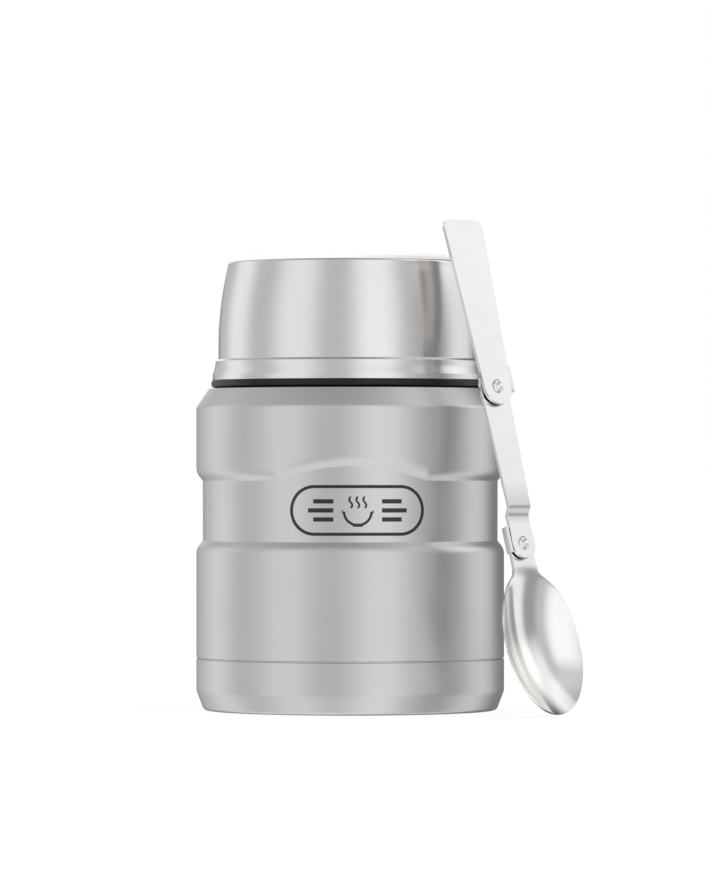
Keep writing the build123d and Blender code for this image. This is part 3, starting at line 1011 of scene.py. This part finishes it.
@dataclass
class Lid:
    """The steel lid with its plastic liner and seal, used upside down as a bowl."""

    wardrobe: Wardrobe
    rim_radius: float = field(default_factory=lambda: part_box("lid_shell")[1].x)
    low: float = field(default_factory=lambda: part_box("lid_shell")[0].z - TRIM)
    top: float = field(default_factory=lambda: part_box("lid_shell")[1].z)
    rim_height: float = 0.0016
    rim_round: float = 0.0006
    edge_round: float = 0.0003
    small_round: float = 0.0002
    skirt_height: float = 0.0058
    skirt_inset: float = 0.00095
    skirt_bulge: float = 0.0002
    skirt_round: float = 0.012
    bulge_share: float = 0.7  # place of the skirt's bulge, as a share of its height
    wall_inset: float = 0.0018
    step: float = 0.0006
    straight: float = 0.0035
    taper: float = 0.0029
    bulge: float = 0.00075
    wall_high: float = 0.1355
    crown_low: float = 0.1368
    crown_inset: float = 0.0009
    crown_power: int = 6  # how flat the crown's middle is
    bore: float = 0.0378
    liner_wall: float = 0.0016
    liner_gap: float = 0.00015
    liner_taper_low: float = 0.1162
    liner_taper_round: float = 0.002
    liner_top: float = field(default_factory=lambda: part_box("lid_liner")[1].z)
    liner_top_radius: float = 0.0365
    liner_corner: float = 0.0066
    groove_round: float = 0.0001
    seal_width: float = 0.0016

    def outline(self) -> list[Point]:
        """Return the lid's outer line from the rim to the middle of the crown."""
        wall = self.rim_radius - self.wall_inset
        skirt = self.rim_radius - self.skirt_inset
        skirt_high = self.low + self.skirt_height
        bulge_height = self.low + self.bulge_share * self.skirt_height
        wall_low = skirt_high + self.step
        top_radius = wall - self.taper
        edge_radius = top_radius - self.crown_inset
        line = rounded_line(
            [
                (self.rim_radius - STEEL / 2, self.low, 0),
                (self.rim_radius, self.low, self.small_round),
                (self.rim_radius, self.low + self.rim_height, self.rim_round),
                (skirt + self.skirt_bulge, bulge_height, self.skirt_round),
                (skirt, skirt_high, self.edge_round),
                (wall, wall_low, self.edge_round),
                (wall, wall_low + self.straight, 0),
            ]
        )
        wall_steps, edge_steps, crown_steps = 28, 7, 24
        wall_start = line.pop()
        line += bulged_line(wall_start, (top_radius, self.wall_high), self.bulge, wall_steps)
        run = self.crown_low - self.wall_high
        for angle in (QUARTER * share for share in shares(edge_steps, first=1)):
            across = edge_radius + self.crown_inset * math.cos(angle)
            line.append((across, self.wall_high + run * math.sin(angle)))
        for share in shares(crown_steps, first=1):
            fall = (self.top - self.crown_low) * (1 - share) ** self.crown_power
            line.append((edge_radius * (1 - share), self.top - fall))
        return line

    def liner_corners(self) -> list[Corner]:
        """Return the corners of the liner's closed section."""
        outer = self.bore + self.liner_wall
        flange = self.rim_radius - STEEL - self.liner_gap
        flange_high = self.low + self.rim_height
        inner_top = self.liner_top - self.liner_wall
        inner_top_radius = self.liner_top_radius - self.liner_wall
        seal_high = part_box("lid_seal")[1].z + PLAY
        seal_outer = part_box("lid_seal")[1].x + PLAY
        seal_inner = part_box("lid_seal")[1].x - self.seal_width - PLAY
        return [
            (0, inner_top, 0),
            (inner_top_radius, inner_top, self.liner_corner - self.liner_wall),
            (self.bore, self.liner_taper_low, self.liner_taper_round),
            (self.bore, self.low, self.edge_round),
            (seal_inner, self.low, self.groove_round),
            (seal_inner, seal_high, self.groove_round),
            (seal_outer, seal_high, self.groove_round),
            (seal_outer, self.low, self.groove_round),
            (flange, self.low, self.small_round),
            (flange, flange_high, self.edge_round),
            (outer, flange_high, self.edge_round),
            (outer, self.liner_taper_low, self.liner_taper_round),
            (self.liner_top_radius, self.liner_top, self.liner_corner),
            (0, self.liner_top, 0),
        ]

    def build(self) -> None:
        """Build the shell, the liner, its thread and the seal."""
        dress = self.wardrobe.dress
        section = sheet_section(self.outline(), STEEL)
        shell = turned_piece("lid_cover", lambda angle: section)
        dress(shell, "lid", "lid_steel", "lid", ["lid_shell"])
        liner = turned("lid_bowl_liner", self.liner_corners())
        dress(liner, "black_plastic", "black_plastic", "lid", ["lid_liner"])
        thread = Thread(
            "lid_thread", self.bore, -THREAD_DEPTH, low=0.1022, high=0.1146, turned_by=60
        )
        dress(thread.build(), "black_plastic", "black_plastic", "lid")
        low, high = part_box("lid_seal")
        inner = high.x - self.seal_width
        corners: list[Corner] = [
            (inner, low.z, self.edge_round),
            (high.x, low.z, self.edge_round),
            (high.x, high.z, self.small_round),
            (inner, high.z, self.small_round),
        ]
        seal = turned("lid_seal_ring", corners, sharp_angle=60)
        dress(seal, "black_silicone", "black_silicone", "lid_ring", ["lid_seal"])


# ------------------------------------------------------------------ folding spoon


@dataclass(frozen=True)
class Station:
    """One cut across a flat plate: its place along the spoon, half width and middle height."""

    along: float
    half_width: float
    height: float = 0.0


def hinge(name: str) -> tuple[Vector, Vector]:
    """Return a hinge's place and its axis in the row frame."""
    found = next(joint for joint in frame["joints"] if joint["name"] == name)
    return Vector(found["pos_m"]), Vector(found["axis"])


@dataclass
class FoldingSpoon:
    """The spoon in three plates on two rivets, standing open beside the jar.

    Its own frame has Y along the spoon from the bowl's tip, and Z out of its face.
    """

    wardrobe: Wardrobe
    plate: float = 0.0011
    plate_gap: float = 0.0005
    handle_front: float = 0.0013
    bowl_tip: float = 0.0009
    bowl_length: float = 0.0452
    bowl_half_width: float = 0.0150
    bowl_depth: float = 0.0079
    bowl_turn: float = 1.3  # degrees in its own plane, about the lower pivot
    wide_point: float = 0.0228
    bowl_sheet: float = 0.0014
    rim_sheet: float = 0.00090
    rim_lift: float = 0.0003
    front_fullness: float = 1.0
    back_fullness: float = 0.90
    throat_run: float = 0.009  # length over which the dish softens before its upper end
    throat_softness: float = 0.22
    flat_start: float = 0.0028  # where the neck is flat, past the bowl's upper end
    flat_run: float = 0.006
    neck_half: float = 0.0045
    neck_flare: float = 0.0035
    flare_start: float = 0.0055  # before the bowl's upper end
    flare_run: float = 0.0022
    neck_blend: float = 0.0012
    lower_pivot: float = 0.0534
    link_length: float = 0.0479
    handle_length: float = 0.0525
    handle_top_half: float = 0.0079
    handle_low_half: float = 0.0056
    handle_corner: float = 0.0026
    link_top_half: float = 0.0056
    link_low_half: float = 0.0042
    link_end: float = 0.0047
    link_end_run: float = 0.006
    joggle_start: float = 0.0083
    joggle_run: float = 0.0030
    tab_gap: float = 0.00015
    tab_length: float = 0.0080
    low_tab_rise: float = 0.0012
    high_tab_rise: float = 0.0024
    edge_round: float = 0.00028
    bowl_edge_round: float = 0.00012
    tab_edge_round: float = 0.0003
    rivet_shank: float = 0.0012
    rivet_head: float = 0.0021
    rivet_rise: float = 0.0006
    rivet_dimple: float = 0.0013
    rivet_round: float = 0.0004

    def __post_init__(self) -> None:
        """Work out the spoon's frame from the two hinges."""
        lower, axis = hinge("bowl_fold")
        upper, _ = hinge("handle_fold")
        normal = axis.normalized()
        along = (upper - lower).normalized()
        across = along.cross(normal).normalized()
        origin = lower - along * self.lower_pivot
        turn = Matrix((across, along, normal)).transposed().to_4x4()
        self.place = Matrix.Translation(origin) @ turn
        joggle = self.plate + self.plate_gap
        self.upper_pivot = self.lower_pivot + self.link_length
        self.length = self.upper_pivot + self.handle_length
        self.handle_middle = self.handle_front - self.plate / 2
        self.link_middle = self.handle_middle - joggle
        self.low_link_middle = self.link_middle - joggle
        self.bowl_front = self.low_link_middle - self.plate / 2 - self.plate_gap

    def plate_piece(self, name: str, stations: Sequence[Station]) -> bpy.types.Object:
        """Build a flat plate from cuts across it, in order along the spoon."""
        rings = []
        for cut in stations:
            ring = []
            for side, face in ((-1, -1), (1, -1), (1, 1), (-1, 1)):
                height = cut.height + face * self.plate / 2
                ring.append((side * cut.half_width, cut.along, height))
            rings.append(ring)
        return new_piece(name, joined_rings(rings, capped=True))

    def round_end(self, centre: float, radius: float, way: int, height: float) -> list[Station]:
        """Return the cuts of a plate's round end.

        Args:
            centre: Centre of the end along the spoon.
            radius: Radius of the end.
            way: -1 for a lower end, 1 for an upper one.
            height: Middle height of the plate.

        Returns:
            The cuts, in order along the spoon.
        """
        steps, blunt = 9, math.radians(8)
        cuts = []
        for share in shares(steps):
            angle = blunt + (QUARTER - blunt) * share
            along = centre + way * radius * math.cos(angle)
            cuts.append(Station(along, radius * math.sin(angle), height))
        return cuts if way < 0 else cuts[::-1]

    def handle(self) -> bpy.types.Object:
        """Build the handle plate with its round pivot end and rounded top corners."""
        straight_steps, corner_steps = 12, 10
        middle = self.handle_middle
        cuts = self.round_end(self.upper_pivot, self.handle_low_half, -1, middle)
        start, stop = self.upper_pivot, self.length - self.handle_corner
        for share in shares(straight_steps, first=1):
            half = self.handle_low_half + (self.handle_top_half - self.handle_low_half) * share
            cuts.append(Station(start + (stop - start) * share, half, middle))
        for angle in (QUARTER * share for share in shares(corner_steps, first=1)):
            half = self.handle_top_half - self.handle_corner * (1 - math.cos(angle))
            cuts.append(Station(stop + self.handle_corner * math.sin(angle), half, middle))
        return self.plate_piece("spoon_handle_plate", cuts)

    def link_height(self, along: float) -> float:
        """Return the middle height of the link's plate, which steps back at its joggle."""
        share = limited((along - self.lower_pivot - self.joggle_start) / self.joggle_run)
        return self.low_link_middle + (self.link_middle - self.low_link_middle) * eased(share)

    def link_half(self, along: float) -> float:
        """Return the half width of the link's plate between its round ends."""
        past = along - self.lower_pivot
        widened = (self.link_top_half - self.link_low_half) * past / self.link_length
        near_end = max(0.0, 1 - past / self.link_end_run)
        return self.link_low_half + widened + (self.link_end - self.link_low_half) * near_end

    def link(self) -> bpy.types.Object:
        """Build the middle plate with its joggle and two round ends."""
        joggle_steps = 12
        joggle_low = self.lower_pivot + self.joggle_start
        places = [self.lower_pivot + share * self.link_end_run for share in (1 / 3, 1)]
        places += [joggle_low + self.joggle_run * share for share in shares(joggle_steps)]
        places += [places[-1] + 0.008, self.upper_pivot - 0.012]
        cuts = self.round_end(self.lower_pivot, self.link_end, -1, 0)
        cuts += [Station(along, self.link_half(along)) for along in places]
        cuts += self.round_end(self.upper_pivot, self.link_top_half, 1, 0)
        lifted = [Station(cut.along, cut.half_width, self.link_height(cut.along)) for cut in cuts]
        return self.plate_piece("spoon_link_plate", lifted)

    def reach(self, along: float) -> float:
        """Return the length of the bowl's half that a place along the spoon lies in."""
        end = self.bowl_tip if along < self.wide_point else self.bowl_length
        return abs(end - self.wide_point)

    def bowl_half(self, along: float) -> float:
        """Return the half width of the bowl and its neck at a place along the spoon."""
        share = min(1.0, abs(along - self.wide_point) / self.reach(along))
        oval = self.bowl_half_width * math.sqrt(max(0.0, 1 - share * share))
        if along < self.wide_point:
            return oval
        past = max(0.0, along - self.bowl_length + self.flare_start)
        neck = self.neck_half + self.neck_flare * math.exp(-past / self.flare_run)
        return soft_larger(oval, neck, self.neck_blend)

    def dish(self, across: float, along: float) -> tuple[float, float]:
        """Return the depths of the bowl's two faces under its rim at a point of its face."""
        x = across / self.bowl_half_width
        y = (along - self.wide_point) / self.reach(along)
        near_neck = limited((along - self.bowl_length + self.throat_run) / self.throat_run)
        softness = self.throat_softness * near_neck * near_neck
        inside = max(0.0, soft_larger(1 - x * x - y * y, 0.0, softness))
        flat = self.bowl_length + self.flat_start
        fade = eased(limited((flat - along) / self.flat_run))
        front = (self.bowl_depth - self.bowl_sheet) * inside**self.front_fullness * fade
        back = self.rim_sheet + (self.bowl_depth - self.rim_sheet) * inside**self.back_fullness
        lift = self.rim_lift * fade
        return front - lift, back * fade + (front + self.plate) * (1 - fade) - lift

    def bowl(self) -> bpy.types.Object:
        """Build the bowl and its neck as one pressed sheet, thinner towards its rim."""
        tip_steps, body_steps, columns = 26, 44, 48
        wide, tip, body = self.wide_point, self.reach(0.0), self.lower_pivot - self.wide_point
        places = [wide - tip * math.cos(QUARTER * share) for share in shares(tip_steps, first=1)]
        places += [wide + body * share for share in shares(body_steps, first=1)]
        cuts = [(along, self.bowl_half(along)) for along in places]
        end = self.round_end(self.lower_pivot, self.link_end, 1, 0)
        cuts += [(cut.along, cut.half_width) for cut in end[1:]]
        rings = []
        for along, half in cuts:
            front, back = [], []
            for share in shares(columns):
                across = -half * math.cos(math.pi * share)
                high, low = self.dish(across, along)
                front.append((across, along, self.bowl_front - high))
                back.append((across, along, self.bowl_front - low))
            rings.append(front + back[::-1])
        piece = new_piece("spoon_bowl_dish", joined_rings(rings, capped=True))
        pivot = Matrix.Translation((0, self.lower_pivot, 0))
        turn = Matrix.Rotation(math.radians(self.bowl_turn), 4, "Z")
        piece.data.transform(pivot @ turn @ pivot.inverted())
        return piece

    def stop_tab(
        self, name: str, inner: float, pivot: float, low: float, high: float
    ) -> bpy.types.Object:
        """Build a tab bent forward beside a pivot, with the strip that joins it to its plate.

        Args:
            name: Name of the piece.
            inner: Signed place of its inner face across the spoon.
            pivot: Place of the tab's middle along the spoon.
            low: Height of its plate's back face.
            high: Height of the tab's free edge.

        Returns:
            The new object in the spoon's frame.
        """
        bend_steps = 6
        bend = math.copysign(self.plate, inner)
        outer = inner + bend
        root = inner / 2
        front = low + self.plate
        line = [(root, front), (inner, front), (inner, high), (outer, high)]
        for angle in (QUARTER * share for share in shares(bend_steps)):
            across = outer - bend * (1 - math.cos(angle))
            line.append((across, low + self.plate * (1 - math.sin(angle))))
        line.append((root, low))
        half = self.tab_length / 2
        rings = []
        for along in (pivot - half, pivot + half):
            rings.append([(across, along, height) for across, height in line])
        return new_piece(name, joined_rings(rings, capped=True))

    def rivet(self, name: str, pivot: float, back: float, front: float) -> bpy.types.Object:
        """Build a tubular rivet with two domed heads and a dimple in the front one.

        Args:
            name: Name of the piece.
            pivot: Place of the pivot along the spoon.
            back: Height of the back head's seat.
            front: Height of the front head's seat.

        Returns:
            The new object, at its place.
        """
        shank, head, rise = self.rivet_shank, self.rivet_head, self.rivet_rise
        dimple, corner = self.rivet_dimple, self.rivet_round
        line = rounded_line(
            [
                (0, back - rise, 0),
                (head, back - rise, corner),
                (head, back, 0),
                (shank, back, 0),
                (shank, front, 0),
                (head, front, 0),
                (head, front + 0.4 * rise, corner / 2),
                (0.78 * head, front + rise, corner),
                (dimple, front + rise, 0.75 * corner),
                (0.45 * dimple, front + 0.2 * rise, corner),
                (0, front + 0.1 * rise, 0),
            ]
        )
        segments = 48
        angles = [FULL_TURN * step / segments for step in range(segments)]
        rings = []
        for radius, height in line:
            ring = [(radius * math.cos(a), pivot + radius * math.sin(a), height) for a in angles]
            rings.append(ring if radius else ring[:1])
        piece = new_piece(name, joined_rings(rings), sharp_angle=50)
        piece.data.transform(self.place)
        return piece

    def fit(
        self,
        piece: bpy.types.Object,
        body: str,
        width: float,
        replaces: Sequence[str] = (),
        angle: float = 40.0,
    ) -> None:
        """Move a steel piece to its place, dress it and round its sharp edges.

        Args:
            piece: The piece, drawn in the spoon's frame.
            body: The body that carries it.
            width: Width of the rounding.
            replaces: Nodes that it stands for.
            angle: Edges that turn more than this many degrees are rounded.
        """
        piece.data.transform(self.place)
        self.wardrobe.dress(piece, "spoon", "spoon_steel", body, replaces)
        bevel = piece.modifiers.new("rounded_edges", "BEVEL")
        bevel.width = width
        bevel.segments = 3
        bevel.limit_method = "ANGLE"
        bevel.angle_limit = math.radians(angle)
        bevel.harden_normals = True

    def build(self) -> None:
        """Build the three plates, their tabs and the two rivets."""
        self.fit(self.handle(), "spoon_grip", self.edge_round, ["spoon_handle"])
        self.fit(self.link(), "spoon_middle", self.edge_round, ["spoon_link"])
        self.fit(self.bowl(), "spoon_end", self.bowl_edge_round, ["spoon_bowl"], angle=60)
        half_plate = self.plate / 2
        neck_back = self.bowl_front - self.plate
        link_back = self.link_middle - half_plate
        link_front = self.low_link_middle + half_plate
        handle_front = self.handle_middle + half_plate
        low_tab = self.stop_tab(
            "spoon_bowl_tab",
            -self.link_end - self.tab_gap,
            self.lower_pivot + self.low_tab_rise,
            neck_back,
            link_front,
        )
        self.fit(low_tab, "spoon_end", self.tab_edge_round)
        high_tab = self.stop_tab(
            "spoon_link_tab",
            self.handle_low_half + self.tab_gap,
            self.upper_pivot + self.high_tab_rise,
            link_back,
            handle_front,
        )
        self.fit(high_tab, "spoon_middle", self.tab_edge_round)
        for node, pivot, back, front in (
            ("upper_rivet", self.upper_pivot, link_back, handle_front + PLAY),
            ("lower_rivet", self.lower_pivot, neck_back - PLAY, link_front),
        ):
            rivet = self.rivet(f"{node}_turning", pivot, back, front)
            self.wardrobe.dress(rivet, "rivet", "rivet_steel", "spoon_middle", [node])


# ------------------------------------------------------------------ printed mark


@dataclass
class PrintedMark:
    """A plain printed pill on the waist with a steaming bowl between two sets of bars."""

    wardrobe: Wardrobe
    wall_radius: float = 0.04503
    thickness: float = 0.00004
    middle_across: float = 0.0012
    middle_height: float = 0.0612
    frame_width: float = 0.0405
    frame_height: float = 0.0142
    frame_line: float = 0.00095
    bar_line: float = 0.0013
    bar_gap: float = 0.0027
    bar_near: float = 0.0073
    bar_far: float = 0.0150
    bar_shorter: float = 0.0016  # by how much the outer bars end sooner
    bowl_rim: float = -0.0004
    bowl_half: float = 0.0041
    bowl_deep: float = 0.0040
    bowl_line: float = 0.00075
    rim_overhang: float = 0.0007
    foot_half: float = 0.0015
    foot_line: float = 0.000975
    steam_apart: float = 0.0021
    steam_sway: float = 0.00045
    steam_low: float = 0.0011
    steam_height: float = 0.0034
    steam_line: float = 0.0006

    def on_wall(self, across: float, up: float, out: float) -> Place:
        """Return the point of the wall at a place measured round it from the mark's middle."""
        angle = (self.middle_across + across) / self.wall_radius
        return round_axis(angle, self.wall_radius + out, self.middle_height + up)

    def stroke(self, line: Sequence[Point], width: float, closed: bool = False) -> Shape:
        """Lay a stroke of ink along a line.

        Args:
            line: Points of its middle as (round the wall, up).
            width: Width of the stroke.
            closed: Whether the line closes on itself.

        Returns:
            Its points and its faces.
        """
        rings = []
        count = len(line)
        low, high = -self.thickness, self.thickness
        for index, point in enumerate(line):
            before = line[index - 1] if closed or index else point
            after = line[(index + 1) % count] if closed or index < count - 1 else point
            along = (Vector(after) - Vector(before)).normalized()
            aside = Vector((-along.y, along.x)) * (width / 2)
            ring = []
            for side, out in ((-1, low), (1, low), (1, high), (-1, high)):
                across, up = point[0] + side * aside.x, point[1] + side * aside.y
                ring.append(self.on_wall(across, up, out))
            rings.append(ring)
        return joined_rings(rings, closed, capped=not closed)

    def pill(self) -> Shape:
        """Return the pill-shaped frame."""
        steps = 24
        radius = self.frame_height / 2
        straight = self.frame_width / 2 - radius
        line: list[Point] = []
        for side in (1, -1):
            for angle in (-QUARTER + math.pi * share for share in shares(steps)):
                across = straight + radius * math.cos(angle)
                line.append((side * across, side * radius * math.sin(angle)))
            for share in shares(steps, first=1)[:-1]:
                line.append((side * straight * (1 - 2 * share), side * radius))
        return self.stroke(line, self.frame_line, closed=True)

    def soup_bowl(self) -> list[Shape]:
        """Return the strokes of the bowl and of its steam."""
        steps = 20
        half, deep, rim = self.bowl_half, self.bowl_deep, self.bowl_rim
        curve = []
        for angle in (math.pi + math.pi * share for share in shares(steps)):
            curve.append((half * math.cos(angle), rim + deep * math.sin(angle)))
        edge, foot = half + self.rim_overhang, self.foot_half
        strokes = [
            self.stroke(curve, self.bowl_line),
            self.stroke([(-edge, rim), (edge, rim)], self.bowl_line),
            self.stroke([(-foot, rim - deep), (foot, rim - deep)], self.foot_line),
        ]
        for across in (-self.steam_apart, 0.0, self.steam_apart):
            steam = []
            for share in shares(steps):
                sway = self.steam_sway * math.sin(FULL_TURN * share)
                steam.append((across + sway, rim + self.steam_low + self.steam_height * share))
            strokes.append(self.stroke(steam, self.steam_line))
        return strokes

    def build(self) -> None:
        """Build the whole print as one piece."""
        bar_steps = 12
        strokes = [self.pill(), *self.soup_bowl()]
        for side in (-1, 1):
            for row in (-1, 0, 1):
                run = self.bar_far - self.bar_shorter * abs(row) - self.bar_near
                places = [side * (self.bar_near + run * share) for share in shares(bar_steps)]
                bar = [(across, row * self.bar_gap) for across in places]
                strokes.append(self.stroke(bar, self.bar_line))
        mark = new_piece("waist_print", merged(strokes))
        self.wardrobe.dress(mark, "ink", "black_plastic", "jar")


# ------------------------------------------------------------------ studio


@dataclass(frozen=True)
class SoftBox:
    """One bright panel or one dark flag round the object, all in degrees and shares."""

    azimuth: float  # from -Y towards +X
    core: float  # half width of its even part
    edge: float  # half width where it ends
    low: float  # sine of its lowest elevation
    high: float
    strength: float  # below zero for a dark flag


@dataclass
class Studio:
    """White backdrop, floor, soft boxes and the camera."""

    walls: float = 0.603
    overhead: float = -0.26
    overhead_from: float = 0.78  # sine of the elevation where it starts
    overhead_full: float = 0.98
    underfoot: float = 0.25
    underfoot_from: float = -0.6
    underfoot_full: float = -1.0
    boxes: tuple[SoftBox, ...] = (
        SoftBox(-118.9, 2, 22.4, -1.3, 0.65, 0.469),
        SoftBox(-51.4, 2, 28.5, -1.3, 0.80, 0.413),
        SoftBox(22, 2, 28, -1.3, 0.80, 0.540),
        SoftBox(114.5, 2, 28.9, -1.3, 0.75, 0.385),
        SoftBox(77, 2, 21.8, -1.3, 0.60, -0.220),
        SoftBox(163.6, 2, 44, -1.3, 0.95, -0.834),
        SoftBox(165, 2, 29.4, -1.3, 0.95, 0.454),
        SoftBox(90, 14, 36, 0.18, 1.30, 0.40),
        SoftBox(68, 25, 80, 0.70, 1.00, 0.42),
        SoftBox(185, 3, 19, 0.00, 0.85, 1.20),
    )
    camera_distance: float = 1.771
    camera_height: float = 0.0717
    camera_turn: float = 1.4  # degrees towards -X
    camera_aside: float = 0.00176
    lens: float = 234.7
    sensor: float = 36.0
    shift_up: float = 0.0345
    floor_size: float = 40.0
    floor_glow: float = 0.80
    floor_white: float = 0.35

    def light(self) -> None:
        """Light the scene with the soft boxes, and keep the backdrop white."""
        world = bpy.data.worlds.new("studio")
        bpy.context.scene.world = world
        world.use_nodes = True
        wiring = Wiring(world.node_tree)
        direction = wiring.coordinates("Generated")
        height = wiring.node("ShaderNodeSeparateXYZ", {0: direction}).outputs[2]
        top = self.walls + self.overhead
        level = wiring.ramp(height, self.overhead_from, self.overhead_full, self.walls, top)
        sunk = wiring.ramp(height, self.underfoot_from, self.underfoot_full, 0.0, self.underfoot)
        level = wiring.math("ADD", level, sunk)
        for box in self.boxes:
            inputs = {
                "Direction": direction,
                "Facing": round_axis(math.radians(box.azimuth), 1.0, 0.0),
                "Edge": math.cos(math.radians(box.edge)),
                "Core": math.cos(math.radians(box.core)),
                "Low": box.low,
                "High": box.high,
            }
            share = Effect.SOFT_BOX.place(wiring, inputs)["Share"]
            level = wiring.math("MULTIPLY_ADD", share, box.strength, level)
        seen = wiring.node("ShaderNodeLightPath").outputs["Is Camera Ray"]
        lit = wiring.node("ShaderNodeMix", {0: seen, 2: level, 3: 1.0}, data_type="FLOAT")
        inputs = {"Color": (1.0, 1.0, 1.0, 1.0), "Strength": lit.outputs[0]}
        backdrop = wiring.node("ShaderNodeBackground", inputs)
        wiring.node("ShaderNodeOutputWorld", {0: backdrop.outputs[0]})

    def floor(self) -> None:
        """Lay a white floor that glows evenly and keeps a faint shadow."""
        half = self.floor_size / 2
        corners = [(-half, -half, 0), (half, -half, 0), (half, half, 0), (-half, half, 0)]
        floor = new_piece("studio_floor", (corners, [(0, 1, 2, 3)]))
        material = bpy.data.materials.new("studio_floor")
        material.use_nodes = True
        wiring = Wiring(material.node_tree)
        glow = wiring.node("ShaderNodeEmission", {"Strength": self.floor_glow})
        white = (self.floor_white, self.floor_white, self.floor_white, 1.0)
        matt = wiring.node("ShaderNodeBsdfDiffuse", {"Color": white})
        both = wiring.node("ShaderNodeAddShader", {0: glow.outputs[0], 1: matt.outputs[0]})
        wiring.node("ShaderNodeOutputMaterial", {0: both.outputs[0]})
        floor.data.materials.append(material)
        floor.visible_glossy = False

    def camera(self) -> None:
        """Set the camera level in front of the jar."""
        turn = math.radians(self.camera_turn)
        forward = Vector((math.sin(turn), math.cos(turn), 0.0))
        right = Vector((math.cos(turn), -math.sin(turn), 0.0))
        data = bpy.data.cameras.new("studio_camera")
        data.lens = self.lens
        data.sensor_width = self.sensor
        data.shift_y = self.shift_up
        data.clip_start, data.clip_end = 0.1, 100.0
        camera = bpy.data.objects.new("studio_camera", data)
        camera.location = right * self.camera_aside - forward * self.camera_distance
        camera.location.z = self.camera_height
        camera.rotation_euler = forward.to_track_quat("-Z", "Y").to_euler()
        bpy.context.scene.collection.objects.link(camera)
        bpy.context.scene.camera = camera

    def build(self) -> None:
        """Build the whole studio."""
        bpy.context.scene.view_settings.view_transform = "Standard"
        self.camera()
        self.floor()
        self.light()


def main() -> None:
    """Build every sub-assembly and the studio round it."""
    logging.basicConfig(level=logging.INFO, format="%(name)s: %(message)s")
    wardrobe = Wardrobe(Finishes())
    Studio().build()
    assemblies = (JarBody, VacuumVessel, Stopper, Lid, FoldingSpoon, PrintedMark)
    for assembly in assemblies:
        log.info("building %s", assembly.__name__)
        assembly(wardrobe).build()


if __name__ == "__main__":
    main()
